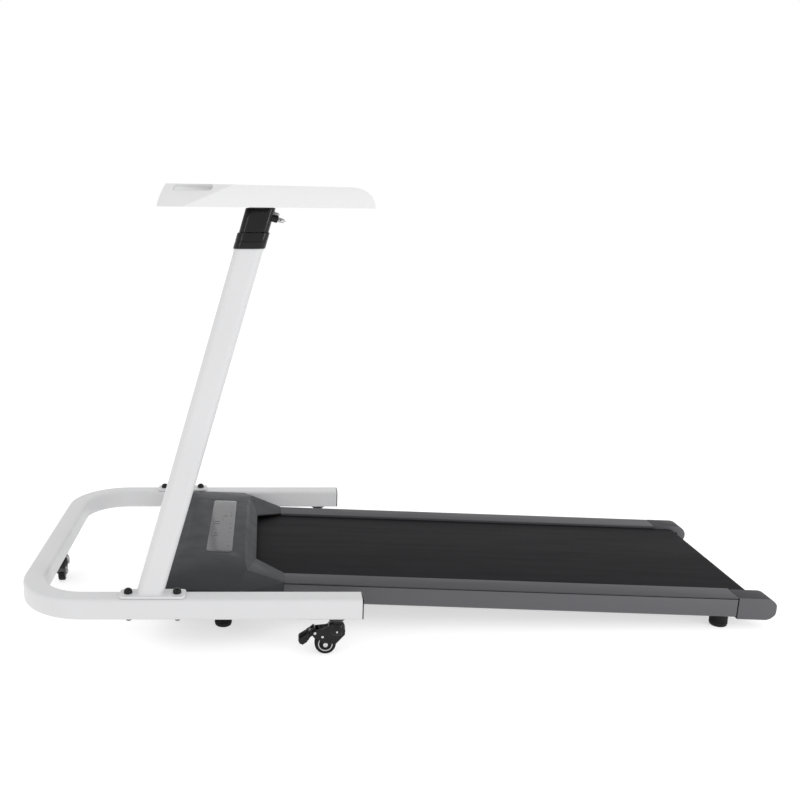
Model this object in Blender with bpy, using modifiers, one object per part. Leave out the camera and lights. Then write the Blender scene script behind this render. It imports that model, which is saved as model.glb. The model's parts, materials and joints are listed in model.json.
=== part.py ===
"""Walking-pad treadmill under a rolling standing desk.

Metres, +Z up. The walker faces -X, so -Y is the walker's left side. The origin is on the
floor at the middle of the overall box. Two groups stand on the floor side by side: the
treadmill on four rubber feet, and a white U-shaped tube base on three casters that carries
two leaning telescopic posts and a moulded desk top.
"""
import math

import bmesh
import bpy
from mathutils import Matrix, Vector

GAP = 0.0003                      # clearance between touching pieces

# ---- base frame: one bent rectangular tube, closed at the front ----
FRAME_FRONT = -0.8397
FRAME_WIDTH = 0.793
RAIL_REAR = -0.1007
RAIL_BOTTOM = 0.0831
TUBE_WIDTH = 0.048
TUBE_HEIGHT = 0.047
TUBE_CORNER = 0.008
TUBE_WALL = 0.002
BEND_RADIUS = 0.126               # to the middle of the tube
BEND_STEPS = 8
RAIL_TOP = RAIL_BOTTOM + TUBE_HEIGHT
RAIL_Y = (FRAME_WIDTH - TUBE_WIDTH) / 2

# ---- posts, collars, clamp sleeves and inner legs ----
LEAN = math.radians(16.4)         # posts lean back towards the walker
POST_FOOT_X = -0.5470             # post centre at rail height
POST_SECTION = (0.0578, 0.0310)   # horizontal cut of the flat oval tube
POST_WALL = 0.0020
POST_TOP = 0.8655
COLLAR_SECTION = (0.0625, 0.0370)
COLLAR_RANGE = (0.8510, 0.8820)
SLEEVE_RANGE = (0.8823, 0.9285)
LEG_SECTION = (0.0478, 0.0225)
LEG_WALL = 0.0016
LEG_BOTTOM = 0.4800
PLATE_SIZE = (0.139, 0.042, 0.005)
PLATE_X = -0.5397
BOLT_X = (-0.5917, -0.4887)
BOLT_RADIUS = 0.0040
BOLT_HEAD_RADIUS = 0.0090
BOLT_HEAD_HEIGHT = 0.0110
SCREW_HEIGHT = 0.9172             # clamp screw above the floor

# ---- desk top, in side view: tapers slightly towards the walker ----
DESK_HALF_WIDTH = 0.4180
DESK_FRONT_BOTTOM = (-0.5107, 0.9316)
DESK_FRONT_TOP = (-0.4957, 0.9750)
DESK_REAR_TOP = (-0.1402, 0.9666)
DESK_REAR_BOTTOM = (-0.0951, 0.9277)
DESK_WALL = 0.0040
DESK_RIB_Y = 0.3000
CROSSBAR_X = -0.3027
GRIP_TOP_LENGTH = 0.1405          # corner facet along the top edge
GRIP_BOTTOM_LENGTH = 0.0525
GRIP_TOP_DEPTH = 0.0600
GRIP_SIZE = (0.0835, 0.0165, 0.0085)
GRIP_TWIST = math.radians(8)      # the pocket gets deeper towards the rear
GRIP_DROP = 0.0030                # pocket below the top edge, along the facet
GRIP_OFFSET = 0.0140
OUTER_BAY_FRONT = -0.3607

# ---- casters ----
CASTER_TRAIL = 0.0235
WHEEL_RADIUS = 0.0228
WHEEL_WIDTH = 0.0170
FORK_WIDTH = 0.0260
FORK_SLOT = 0.0190
CASTERS = {                       # swivel point and turn about Z in degrees
    "rear_left": (-0.1527, -RAIL_Y, 0.0),
    "rear_right": (-0.1527, RAIL_Y, 0.0),
    "front": (FRAME_FRONT + TUBE_WIDTH / 2, 0.0, -85.0),
}

# ---- treadmill deck, in its own inclined frame (u along, v across, w up) ----
DECK_ORIGIN = Vector((-0.2617, 0.0, 0.1128))
DECK_INCLINE = math.radians(2.1)
DECK_HALF_WIDTH = 0.2645
BELT_HALF_WIDTH = 0.2080
CAP_SEAM = 1.0160
CAP_INNER = 0.2150                # leaves a dark gap beside the belt
DECK_END = 1.1031
SIDE_BOTTOM = -0.0462
CAP_BOTTOM = -0.0500
ROLLER_RADIUS = 0.0160
ROLLER_W = -0.0248
FRONT_ROLLER_U = -0.1050
REAR_ROLLER_U = 1.0545
BELT_THICKNESS = 0.0018
BOARD_W = (-0.0211, -0.0091)
BEAM_V = (0.2115, 0.2355)
BEAM_W = (-0.0414, -0.0214)
BEAM_WALL = 0.0020
BEAM_END = 1.0800
CROSS_U = (-0.2700, -0.1450, 0.0400, 0.3550, 0.6700, 0.9700)
FOOT_RADIUS = 0.0195
FOOT_Y = 0.2365
FOOT_X = (-0.3987, 0.7243)

# ---- motor hood, in the deck frame ----
HOOD_FRONT = -0.2910
HOOD_HALF_WIDTH = 0.3460
HOOD_SHOULDER = -0.0930           # where the plan starts to narrow
HOOD_SKIRT = -0.0477
HOOD_WALL = 0.0030
CROWN_TOP = 0.0385
CROWN_DROP = 0.0310
CROWN_POWER = 5
OPENING_EDGE = -0.0630            # belt opening in the hood
OPENING_CORNER_V = 0.1550
RIDGE_U = -0.0900                 # crease between the top and the facets round the opening
RIDGE_CORNER = (-0.0830, 0.2700, 0.0290)
SOCKET_W = -0.0270                # middle of the power socket and switch
INLET_V = -0.2850
INLET_SIZE = (0.0300, 0.0220)
SWITCH_V = -0.2550
SWITCH_SIZE = (0.0136, 0.0210)
SWITCH_PIVOT = 0.0050
DISPLAY_U = -0.1490
DISPLAY_SIZE = (0.0598, 0.3740)

# ---- drive ----
MOTOR_U = -0.2000
MOTOR_W = -0.0040
MOTOR_RADIUS = 0.0300
MOTOR_V = (0.0700, 0.2000)
PULLEY_V = (0.2435, 0.2595)
ROLLER_PULLEY_RADIUS = 0.0200
MOTOR_PULLEY_RADIUS = 0.0100

SIDES = {"left": -1, "right": 1}


# ---------------------------------------------------------------- scene and materials
def clear_scene():
    for item in list(bpy.data.objects):
        bpy.data.objects.remove(item, do_unlink=True)


def new_collection(name):
    collection = bpy.data.collections.new(name)
    bpy.context.scene.collection.children.link(collection)
    return collection


def new_material(name, colour, roughness, metallic=0.0):
    material = bpy.data.materials.new(name)
    material.use_nodes = True
    shader = material.node_tree.nodes["Principled BSDF"]
    shader.inputs["Base Color"].default_value = (*colour, 1.0)
    shader.inputs["Roughness"].default_value = roughness
    shader.inputs["Metallic"].default_value = metallic
    return material


clear_scene()
PARTS = new_collection("treadmill_with_desk")
CUTTERS = new_collection("cutters")

WHITE_PAINT = new_material("white_powder_coat", (0.78, 0.78, 0.79), 0.45)
DESK_PLASTIC = new_material("white_moulded_plastic", (0.84, 0.84, 0.84), 0.40)
BLACK_PLASTIC = new_material("black_plastic", (0.018, 0.018, 0.018), 0.45)
GREY_PLASTIC = new_material("dark_grey_plastic", (0.075, 0.075, 0.080), 0.50)
RAIL_PAINT = new_material("rail_grey", (0.150, 0.150, 0.160), 0.42)
DISPLAY_GREY = new_material("display_grey", (0.170, 0.170, 0.180), 0.30)
BELT_RUBBER = new_material("belt_rubber", (0.026, 0.026, 0.028), 0.75)
SOFT_RUBBER = new_material("soft_rubber", (0.012, 0.012, 0.010), 0.80)
BOARD = new_material("deck_board", (0.120, 0.070, 0.040), 0.55)
BARE_STEEL = new_material("bare_steel", (0.560, 0.560, 0.570), 0.30, 1.0)
DARK_STEEL = new_material("black_steel", (0.030, 0.030, 0.032), 0.50, 0.3)
HEAT_SINK = new_material("cast_aluminium", (0.600, 0.600, 0.610), 0.40, 1.0)


# ---------------------------------------------------------------- outlines
def arc(centre, radius, start, end, steps):
    """Points on an arc, angles in degrees; radius is a number or an (x, y) pair."""
    rx, ry = radius if isinstance(radius, tuple) else (radius, radius)
    angles = [math.radians(start + (end - start) * i / steps) for i in range(steps + 1)]
    return [(centre[0] + rx * math.cos(a), centre[1] + ry * math.sin(a)) for a in angles]


def rounded_rectangle(low, high, radius, steps=4):
    """Anticlockwise rounded rectangle between two corners."""
    (x0, y0), (x1, y1) = low, high
    points = arc((x1 - radius, y1 - radius), radius, 0, 90, steps)
    points += arc((x0 + radius, y1 - radius), radius, 90, 180, steps)
    points += arc((x0 + radius, y0 + radius), radius, 180, 270, steps)
    points += arc((x1 - radius, y0 + radius), radius, 270, 360, steps)
    return points


def flat_oval(section, inset=0.0, steps=5):
    """Stadium outline centred on the origin, long way along the first axis."""
    length, width = (side - 2 * inset for side in section)
    return rounded_rectangle((-length / 2, -width / 2), (length / 2, width / 2), width / 2.001, steps)


def around_pulleys(first, second, radius_1, radius_2, steps=10):
    """Convex outline round two circles, the first at the lower x."""
    offset = Vector(second) - Vector(first)
    heading = math.degrees(math.atan2(offset.y, offset.x))
    spread = math.degrees(math.acos((radius_1 - radius_2) / offset.length))
    points = arc(first, radius_1, heading + spread, heading + 360 - spread, steps)
    return points + arc(second, radius_2, heading - spread, heading + spread, steps)


# ---------------------------------------------------------------- solids
def add_object(name, mesh, material, collection=None):
    item = bpy.data.objects.new(name, mesh)
    mesh.name = name
    if material:
        mesh.materials.append(material)
    (collection or PARTS).objects.link(item)
    return item


def face_outwards(bm):
    bmesh.ops.recalc_face_normals(bm, faces=bm.faces)
    if bm.calc_volume(signed=True) < 0:
        bmesh.ops.reverse_faces(bm, faces=bm.faces)


def close_mesh(mesh):
    """Weld a converted curve's loose caps and turn its faces outwards."""
    bm = bmesh.new()
    bm.from_mesh(mesh)
    bmesh.ops.remove_doubles(bm, verts=bm.verts, dist=0.00001)
    face_outwards(bm)
    bm.to_mesh(mesh)
    bm.free()


def curve_to_mesh(name, curve):
    guide = bpy.data.objects.new(name, curve)
    bpy.context.scene.collection.objects.link(guide)
    evaluated = guide.evaluated_get(bpy.context.evaluated_depsgraph_get())
    mesh = bpy.data.meshes.new_from_object(evaluated)
    bpy.data.objects.remove(guide, do_unlink=True)
    close_mesh(mesh)
    mesh.materials.clear()
    return mesh


PLANES = {
    "XY": Matrix.Identity(4),
    "XZ": Matrix.Rotation(math.radians(90), 4, "X"),
    "YZ": Matrix(((0, 0, 1, 0), (1, 0, 0, 0), (0, 1, 0, 0), (0, 0, 0, 1))),
}
NORMAL = {"XY": Vector((0, 0, 1)), "XZ": Vector((0, 1, 0)), "YZ": Vector((1, 0, 0))}


def prism(name, outlines, span, plane="XY", material=None, collection=None):
    """Solid between span[0] and span[1] across a plane; outlines after the first are holes."""
    curve = bpy.data.curves.new(name, "CURVE")
    curve.dimensions = "2D"
    curve.fill_mode = "BOTH"
    curve.extrude = abs(span[1] - span[0]) / 2
    for outline in outlines:
        spline = curve.splines.new("POLY")
        spline.points.add(len(outline) - 1)
        for point, (x, y) in zip(spline.points, outline):
            point.co = (x, y, 0, 1)
        spline.use_cyclic_u = True
    mesh = curve_to_mesh(name, curve)
    mesh.transform(Matrix.Translation(NORMAL[plane] * (span[0] + span[1]) / 2) @ PLANES[plane])
    return add_object(name, mesh, material, collection)


def box(name, corner, opposite, material=None, collection=None):
    low = Vector(min(pair) for pair in zip(corner, opposite))
    high = Vector(max(pair) for pair in zip(corner, opposite))
    bm = bmesh.new()
    shape = Matrix.Translation((low + high) / 2) @ Matrix.Diagonal((*(high - low), 1))
    bmesh.ops.create_cube(bm, size=1, matrix=shape)
    mesh = bpy.data.meshes.new(name)
    bm.to_mesh(mesh)
    bm.free()
    return add_object(name, mesh, material, collection)


def cylinder(name, start, end, radius, material=None, collection=None, segments=24):
    start, end = Vector(start), Vector(end)
    turn = (end - start).to_track_quat("Z", "Y").to_matrix().to_4x4()
    bm = bmesh.new()
    bmesh.ops.create_cone(bm, cap_ends=True, segments=segments, radius1=radius, radius2=radius,
                          depth=(end - start).length,
                          matrix=Matrix.Translation((start + end) / 2) @ turn)
    mesh = bpy.data.meshes.new(name)
    bm.to_mesh(mesh)
    bm.free()
    return add_object(name, mesh, material, collection)


def turned(name, profile, material, segments=28, closed=False):
    """Profile of (radius, height) points, top to bottom outside, spun about its own Z axis."""
    mesh = bpy.data.meshes.new(name)
    edges = [(i, i + 1) for i in range(len(profile) - 1)]
    if closed:
        edges.append((len(profile) - 1, 0))
    mesh.from_pydata([(radius, 0, height) for radius, height in profile], edges, [])
    item = add_object(name, mesh, material)
    screw = item.modifiers.new("turn", "SCREW")
    screw.steps = screw.render_steps = segments
    screw.use_merge_vertices = True
    screw.merge_threshold = 0.00001
    screw.use_smooth_shade = True
    return item


def hide_tool(tool):
    for collection in list(tool.users_collection):
        collection.objects.unlink(tool)
    CUTTERS.objects.link(tool)
    tool.hide_render = True
    tool.display_type = "WIRE"


def combine(target, operation, tools):
    for tool in tools:
        modifier = target.modifiers.new(f"{operation.lower()}_{tool.name}"[:60], "BOOLEAN")
        modifier.operation = operation
        modifier.object = tool
        hide_tool(tool)
    return target


def cut(target, *tools):
    return combine(target, "DIFFERENCE", tools)


def fuse(target, *tools):
    return combine(target, "UNION", tools)


def move_origin(item, point):
    """Put an object's origin on its joint axis without moving its shape."""
    item.data.transform(Matrix.Translation(-Vector(point)))
    item.location = point
    return item


def facet_frame(centre, along, across, outward):
    """Frame on a slanted facet: z leaves the material and y leans upwards."""
    normal = along.cross(across).normalized()
    if normal.dot(outward) < 0:
        normal.negate()
    side = along.normalized()
    if normal.cross(side).z < 0:
        side.negate()
    frame = Matrix((side, normal.cross(side), normal)).transposed().to_4x4()
    frame.translation = centre
    return frame


# ---------------------------------------------------------------- base frame
def swept_bar(name, inset, overrun):
    """The U-shaped path as a solid bar; inset shrinks the section, overrun lengthens its ends."""
    front = FRAME_FRONT + TUBE_WIDTH / 2
    bend = front + BEND_RADIUS
    path = [(RAIL_REAR + overrun, -RAIL_Y)]
    path += arc((bend, -RAIL_Y + BEND_RADIUS), BEND_RADIUS, 270, 180, BEND_STEPS)
    path += arc((bend, RAIL_Y - BEND_RADIUS), BEND_RADIUS, 180, 90, BEND_STEPS)
    path += [(RAIL_REAR + overrun, RAIL_Y)]

    half_width = TUBE_WIDTH / 2 - inset
    half_height = TUBE_HEIGHT / 2 - inset
    section = bpy.data.curves.new(name + "_section", "CURVE")
    section.dimensions = "2D"
    outline = rounded_rectangle((-half_width, -half_height), (half_width, half_height),
                                TUBE_CORNER - inset, 2)
    spline = section.splines.new("POLY")
    spline.points.add(len(outline) - 1)
    for point, (x, y) in zip(spline.points, outline):
        point.co = (x, y, 0, 1)
    spline.use_cyclic_u = True
    section_guide = bpy.data.objects.new(name + "_section", section)
    bpy.context.scene.collection.objects.link(section_guide)

    curve = bpy.data.curves.new(name, "CURVE")
    curve.dimensions = "3D"
    curve.twist_mode = "Z_UP"
    curve.bevel_mode = "OBJECT"
    curve.bevel_object = section_guide
    curve.use_fill_caps = True
    spline = curve.splines.new("POLY")
    spline.points.add(len(path) - 1)
    for point, (x, y) in zip(spline.points, path):
        point.co = (x, y, RAIL_BOTTOM + TUBE_HEIGHT / 2, 1)
    mesh = curve_to_mesh(name, curve)
    bpy.data.objects.remove(section_guide, do_unlink=True)
    return add_object(name, mesh, WHITE_PAINT)


def make_base_frame():
    frame = swept_bar("base_frame", 0.0, 0.0)
    cut(frame, swept_bar("tube_hollow", TUBE_WALL, 0.02))
    for side, sign in SIDES.items():
        for index, x in enumerate(BOLT_X):
            cut(frame, cylinder(f"rail_hole_{side}_{index}", (x, sign * RAIL_Y, 0.07),
                                (x, sign * RAIL_Y, 0.15), BOLT_RADIUS + GAP, segments=10))
    for name, (x, y, _turn) in CASTERS.items():
        cut(frame, cylinder(f"stem_hole_{name}", (x, y, 0.07), (x, y, 0.10), 0.0063, segments=12))


def make_rail_plug(side, sign):
    half_width, half_height = TUBE_WIDTH / 2, TUBE_HEIGHT / 2
    middle = (sign * RAIL_Y, RAIL_BOTTOM + half_height)

    def rectangle(inset, radius):
        return rounded_rectangle((middle[0] - half_width + inset, middle[1] - half_height + inset),
                                 (middle[0] + half_width - inset, middle[1] + half_height - inset),
                                 radius, 2)
    plug = prism(f"rail_plug_{side}", [rectangle(0.0, TUBE_CORNER)],
                 (RAIL_REAR + GAP, RAIL_REAR + 0.0025), "YZ", BLACK_PLASTIC)
    inset = TUBE_WALL + 0.0004
    fuse(plug, prism(f"plug_insert_{side}", [rectangle(inset, TUBE_CORNER - inset)],
                     (RAIL_REAR - 0.020, RAIL_REAR + 0.001), "YZ", BLACK_PLASTIC))


# ---------------------------------------------------------------- posts
def post_x(height):
    """Post centre line in side view."""
    return POST_FOOT_X + (height - RAIL_TOP) * math.tan(LEAN)


def leaning_prism(name, outlines, span, y, material=None):
    """A horizontal section carried along the leaning post line, with level ends."""
    item = prism(name, outlines, span, "XY", material)
    shear = Matrix.Identity(4)
    shear[0][2] = math.tan(LEAN)
    shear[0][3] = POST_FOOT_X - RAIL_TOP * math.tan(LEAN)
    shear[1][3] = y
    item.data.transform(shear)
    return item


def make_post(side, sign):
    y = sign * RAIL_Y
    plate_bottom = RAIL_TOP + GAP
    plate_top = plate_bottom + PLATE_SIZE[2]
    post = leaning_prism(f"post_{side}", [flat_oval(POST_SECTION), flat_oval(POST_SECTION, POST_WALL)],
                         (plate_bottom + 0.002, POST_TOP), y, WHITE_PAINT)
    half_length, half_width = PLATE_SIZE[0] / 2, PLATE_SIZE[1] / 2
    plate = prism(f"post_plate_{side}",
                  [rounded_rectangle((PLATE_X - half_length, y - half_width),
                                     (PLATE_X + half_length, y + half_width), 0.008, 3)],
                  (plate_bottom, plate_top), material=WHITE_PAINT)
    fuse(post, plate)
    for index, x in enumerate(BOLT_X):
        cut(post, cylinder(f"plate_hole_{side}_{index}", (x, y, plate_bottom - 0.01),
                           (x, y, plate_top + 0.004), BOLT_RADIUS + GAP, segments=10))


def make_base_bolt(side, sign, index):
    """Capped bolt through the plate and the rail, with its capped nut beneath."""
    head_low = RAIL_TOP + GAP + PLATE_SIZE[2] + GAP
    nut_high = RAIL_BOTTOM - GAP
    profile = [(0.0, head_low + BOLT_HEAD_HEIGHT)]
    profile += [(BOLT_HEAD_RADIUS * math.sin(a), head_low + 0.004
                 + (BOLT_HEAD_HEIGHT - 0.004) * math.cos(a))
                for a in (math.radians(step) for step in (35, 65, 90))]
    profile += [(BOLT_HEAD_RADIUS, head_low), (BOLT_RADIUS, head_low), (BOLT_RADIUS, nut_high),
                (0.0075, nut_high), (0.0072, nut_high - 0.0060), (0.0045, nut_high - 0.0088),
                (0.0, nut_high - 0.0092)]
    bolt = turned(f"base_bolt_{side}_{index + 1}", profile, BLACK_PLASTIC, 14)
    bolt.location = (BOLT_X[index], sign * RAIL_Y, 0)


def make_post_collar(side, sign):
    y = sign * RAIL_Y
    collar = leaning_prism(f"post_collar_{side}",
                           [flat_oval(COLLAR_SECTION), flat_oval(LEG_SECTION, -0.0006)],
                           COLLAR_RANGE, y, BLACK_PLASTIC)
    socket = leaning_prism(f"collar_socket_{side}", [flat_oval(POST_SECTION, -GAP)],
                           (COLLAR_RANGE[0] - 0.01, POST_TOP + GAP), y)
    cut(collar, socket)


SCREW_AXIS = Vector((math.cos(LEAN), 0, -math.sin(LEAN)))   # square to the post, to the rear


def screw_point(sign, distance):
    """A point on the clamp screw's axis, at a distance behind the post's centre line."""
    return Vector((post_x(SCREW_HEIGHT), sign * RAIL_Y, SCREW_HEIGHT)) + SCREW_AXIS * distance


def make_clamp_sleeve(side, sign):
    y = sign * RAIL_Y
    sleeve = leaning_prism(f"clamp_sleeve_{side}", [flat_oval(POST_SECTION)],
                           SLEEVE_RANGE, y, BLACK_PLASTIC)
    boss = cylinder(f"sleeve_boss_{side}", screw_point(sign, 0.015), screw_point(sign, 0.0385), 0.0074,
                    segments=16)
    channel = leaning_prism(f"sleeve_channel_{side}", [flat_oval(LEG_SECTION, -0.0006)],
                            (SLEEVE_RANGE[0] - 0.01, SLEEVE_RANGE[1] + 0.01), y)
    bore = cylinder(f"sleeve_bore_{side}", screw_point(sign, 0.010), screw_point(sign, 0.045), 0.0032,
                    segments=10)
    fuse(sleeve, boss)
    cut(sleeve, channel, bore)


def make_wing_screw(side, sign):
    """Thumb screw whose wings stand clear behind the boss."""
    start = screw_point(sign, 0.0390)
    profile = [(0.0, 0.0120), (0.0030, 0.0115), (0.0042, 0.0095), (0.0046, 0.0), (0.0028, 0.0),
               (0.0028, -0.0130), (0.0, -0.0130)]
    screw = turned(f"wing_screw_{side}", profile, BARE_STEEL, 12)
    wing = [(0.0, 0.001), (0.0040, 0.001), (0.0105, 0.0075), (0.0118, 0.0125), (0.0095, 0.0145),
            (0.0050, 0.0100), (0.0, 0.0085)]
    outline = wing + [(-x, z) for x, z in reversed(wing[1:-1])]
    wings = prism(f"wing_blade_{side}", [outline], (-0.0011, 0.0011), "XZ")
    for item in (screw, wings):
        turn = SCREW_AXIS.to_track_quat("Z", "X").to_matrix().to_4x4()
        item.matrix_world = Matrix.Translation(start) @ turn
    fuse(screw, wings)


# ---------------------------------------------------------------- desk
def desk_profile():
    """Side outline: slanted front edge with a slight bulge, round nose at the walker's side."""
    (x0, z0), (x1, z1) = DESK_FRONT_BOTTOM, DESK_FRONT_TOP
    bulge = 0.0025
    front = [(x0 + (x1 - x0) * t - bulge * math.sin(math.pi * t), z0 + (z1 - z0) * t)
             for t in (0, 0.25, 0.5, 0.75, 1)]
    nose_radius = (DESK_REAR_BOTTOM[0] - DESK_REAR_TOP[0], DESK_REAR_TOP[1] - DESK_REAR_BOTTOM[1])
    nose = arc((DESK_REAR_TOP[0], DESK_REAR_BOTTOM[1]), nose_radius, 90, 0, 9)
    return front + nose


def desk_hollow(name, front_x, y_span):
    """Underside bay with the wall thickness left on top and at the nose."""
    slope = (DESK_REAR_TOP[1] - DESK_FRONT_TOP[1]) / (DESK_REAR_TOP[0] - DESK_FRONT_TOP[0])
    ceiling = DESK_FRONT_TOP[1] + (front_x - DESK_FRONT_TOP[0]) * slope - DESK_WALL
    rear = (DESK_REAR_TOP[0], DESK_REAR_TOP[1] - DESK_WALL)
    radius = (DESK_REAR_BOTTOM[0] - rear[0] - DESK_WALL, rear[1] - DESK_REAR_BOTTOM[1])
    outline = [(front_x, 0.90), (front_x, ceiling)] + arc((rear[0], DESK_REAR_BOTTOM[1]), radius, 90, 0, 7)
    outline += [(rear[0] + radius[0], 0.90)]
    return prism(name, [outline], y_span, "XZ")


def grip_frame(sign):
    """Frame in the middle of the facet across a front corner, at its top edge."""
    edge = sign * DESK_HALF_WIDTH
    top = Vector((DESK_FRONT_TOP[0] + GRIP_TOP_LENGTH, edge, DESK_FRONT_TOP[1]))
    bottom = Vector((DESK_FRONT_BOTTOM[0] + GRIP_BOTTOM_LENGTH, edge, DESK_FRONT_BOTTOM[1]))
    inner = Vector((DESK_FRONT_TOP[0], edge - sign * GRIP_TOP_DEPTH, DESK_FRONT_TOP[1]))
    return facet_frame((top + inner) / 2, inner - top, bottom - top, Vector((-1, sign, 0)))


def make_desk_top():
    desk = prism("desk_top", [desk_profile()], (-DESK_HALF_WIDTH, DESK_HALF_WIDTH), "XZ", DESK_PLASTIC)
    for side, sign in SIDES.items():
        facet = box(f"grip_facet_{side}", (-0.15, -0.12, 0.0), (0.15, 0.08, 0.10))
        shift = sign * GRIP_OFFSET
        low = (shift - GRIP_SIZE[0] / 2, -GRIP_DROP - GRIP_SIZE[1])
        high = (shift + GRIP_SIZE[0] / 2, -GRIP_DROP)
        pocket = prism(f"grip_pocket_{side}", [rounded_rectangle(low, high, 0.006, 3)],
                       (-GRIP_SIZE[2], 0.012))
        facet.matrix_world = grip_frame(sign)
        pivot = Matrix.Translation((shift, 0, 0))
        twist = Matrix.Rotation(-sign * GRIP_TWIST, 4, "Y")
        pocket.matrix_world = grip_frame(sign) @ pivot @ twist @ pivot.inverted()
        cut(desk, facet, pocket)
    desk_inner = DESK_HALF_WIDTH - DESK_WALL
    cut(desk, desk_hollow("desk_bay_middle", DESK_FRONT_TOP[0] + 0.008, (-DESK_RIB_Y, DESK_RIB_Y)))
    for side, sign in SIDES.items():
        cut(desk, desk_hollow(f"desk_bay_{side}", OUTER_BAY_FRONT,
                              (sign * (DESK_RIB_Y + DESK_WALL), sign * desk_inner)))
        cut(desk, box(f"rib_notch_{side}", (CROSSBAR_X - 0.0190, sign * (DESK_RIB_Y - 0.005), 0.90),
                      (CROSSBAR_X + 0.0190, sign * (DESK_RIB_Y + 0.010), 0.9575)))
    return desk


def make_inner_leg(side, sign):
    """Inner telescopic tube with the plate that screws up into the desk top."""
    y = sign * RAIL_Y
    leg = leaning_prism(f"inner_leg_{side}", [flat_oval(LEG_SECTION), flat_oval(LEG_SECTION, LEG_WALL)],
                        (LEG_BOTTOM, 0.9600), y, WHITE_PAINT)
    plate_low, plate_high = 0.9590, 0.9625
    x = post_x(plate_low)
    inner_y, outer_y = sorted((y - sign * 0.0500, y + sign * 0.0360))
    plate = box(f"leg_plate_{side}", (x - 0.042, inner_y, plate_low), (x + 0.042, outer_y, plate_high))
    fuse(leg, plate)


def make_desk_crossbar():
    x, low, high = CROSSBAR_X, 0.9380, 0.9560
    outer = rounded_rectangle((x - 0.0150, low), (x + 0.0150, high), 0.003, 2)
    inner = rounded_rectangle((x - 0.0135, low + 0.0015), (x + 0.0135, high - 0.0015), 0.002, 2)
    prism("desk_crossbar", [outer, inner], (-0.3300, 0.3300), "XZ", WHITE_PAINT)


# ---------------------------------------------------------------- casters
def caster_matrix(name):
    x, y, turn = CASTERS[name]
    return Matrix.Translation((x, y, 0)) @ Matrix.Rotation(math.radians(turn), 4, "Z")


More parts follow.
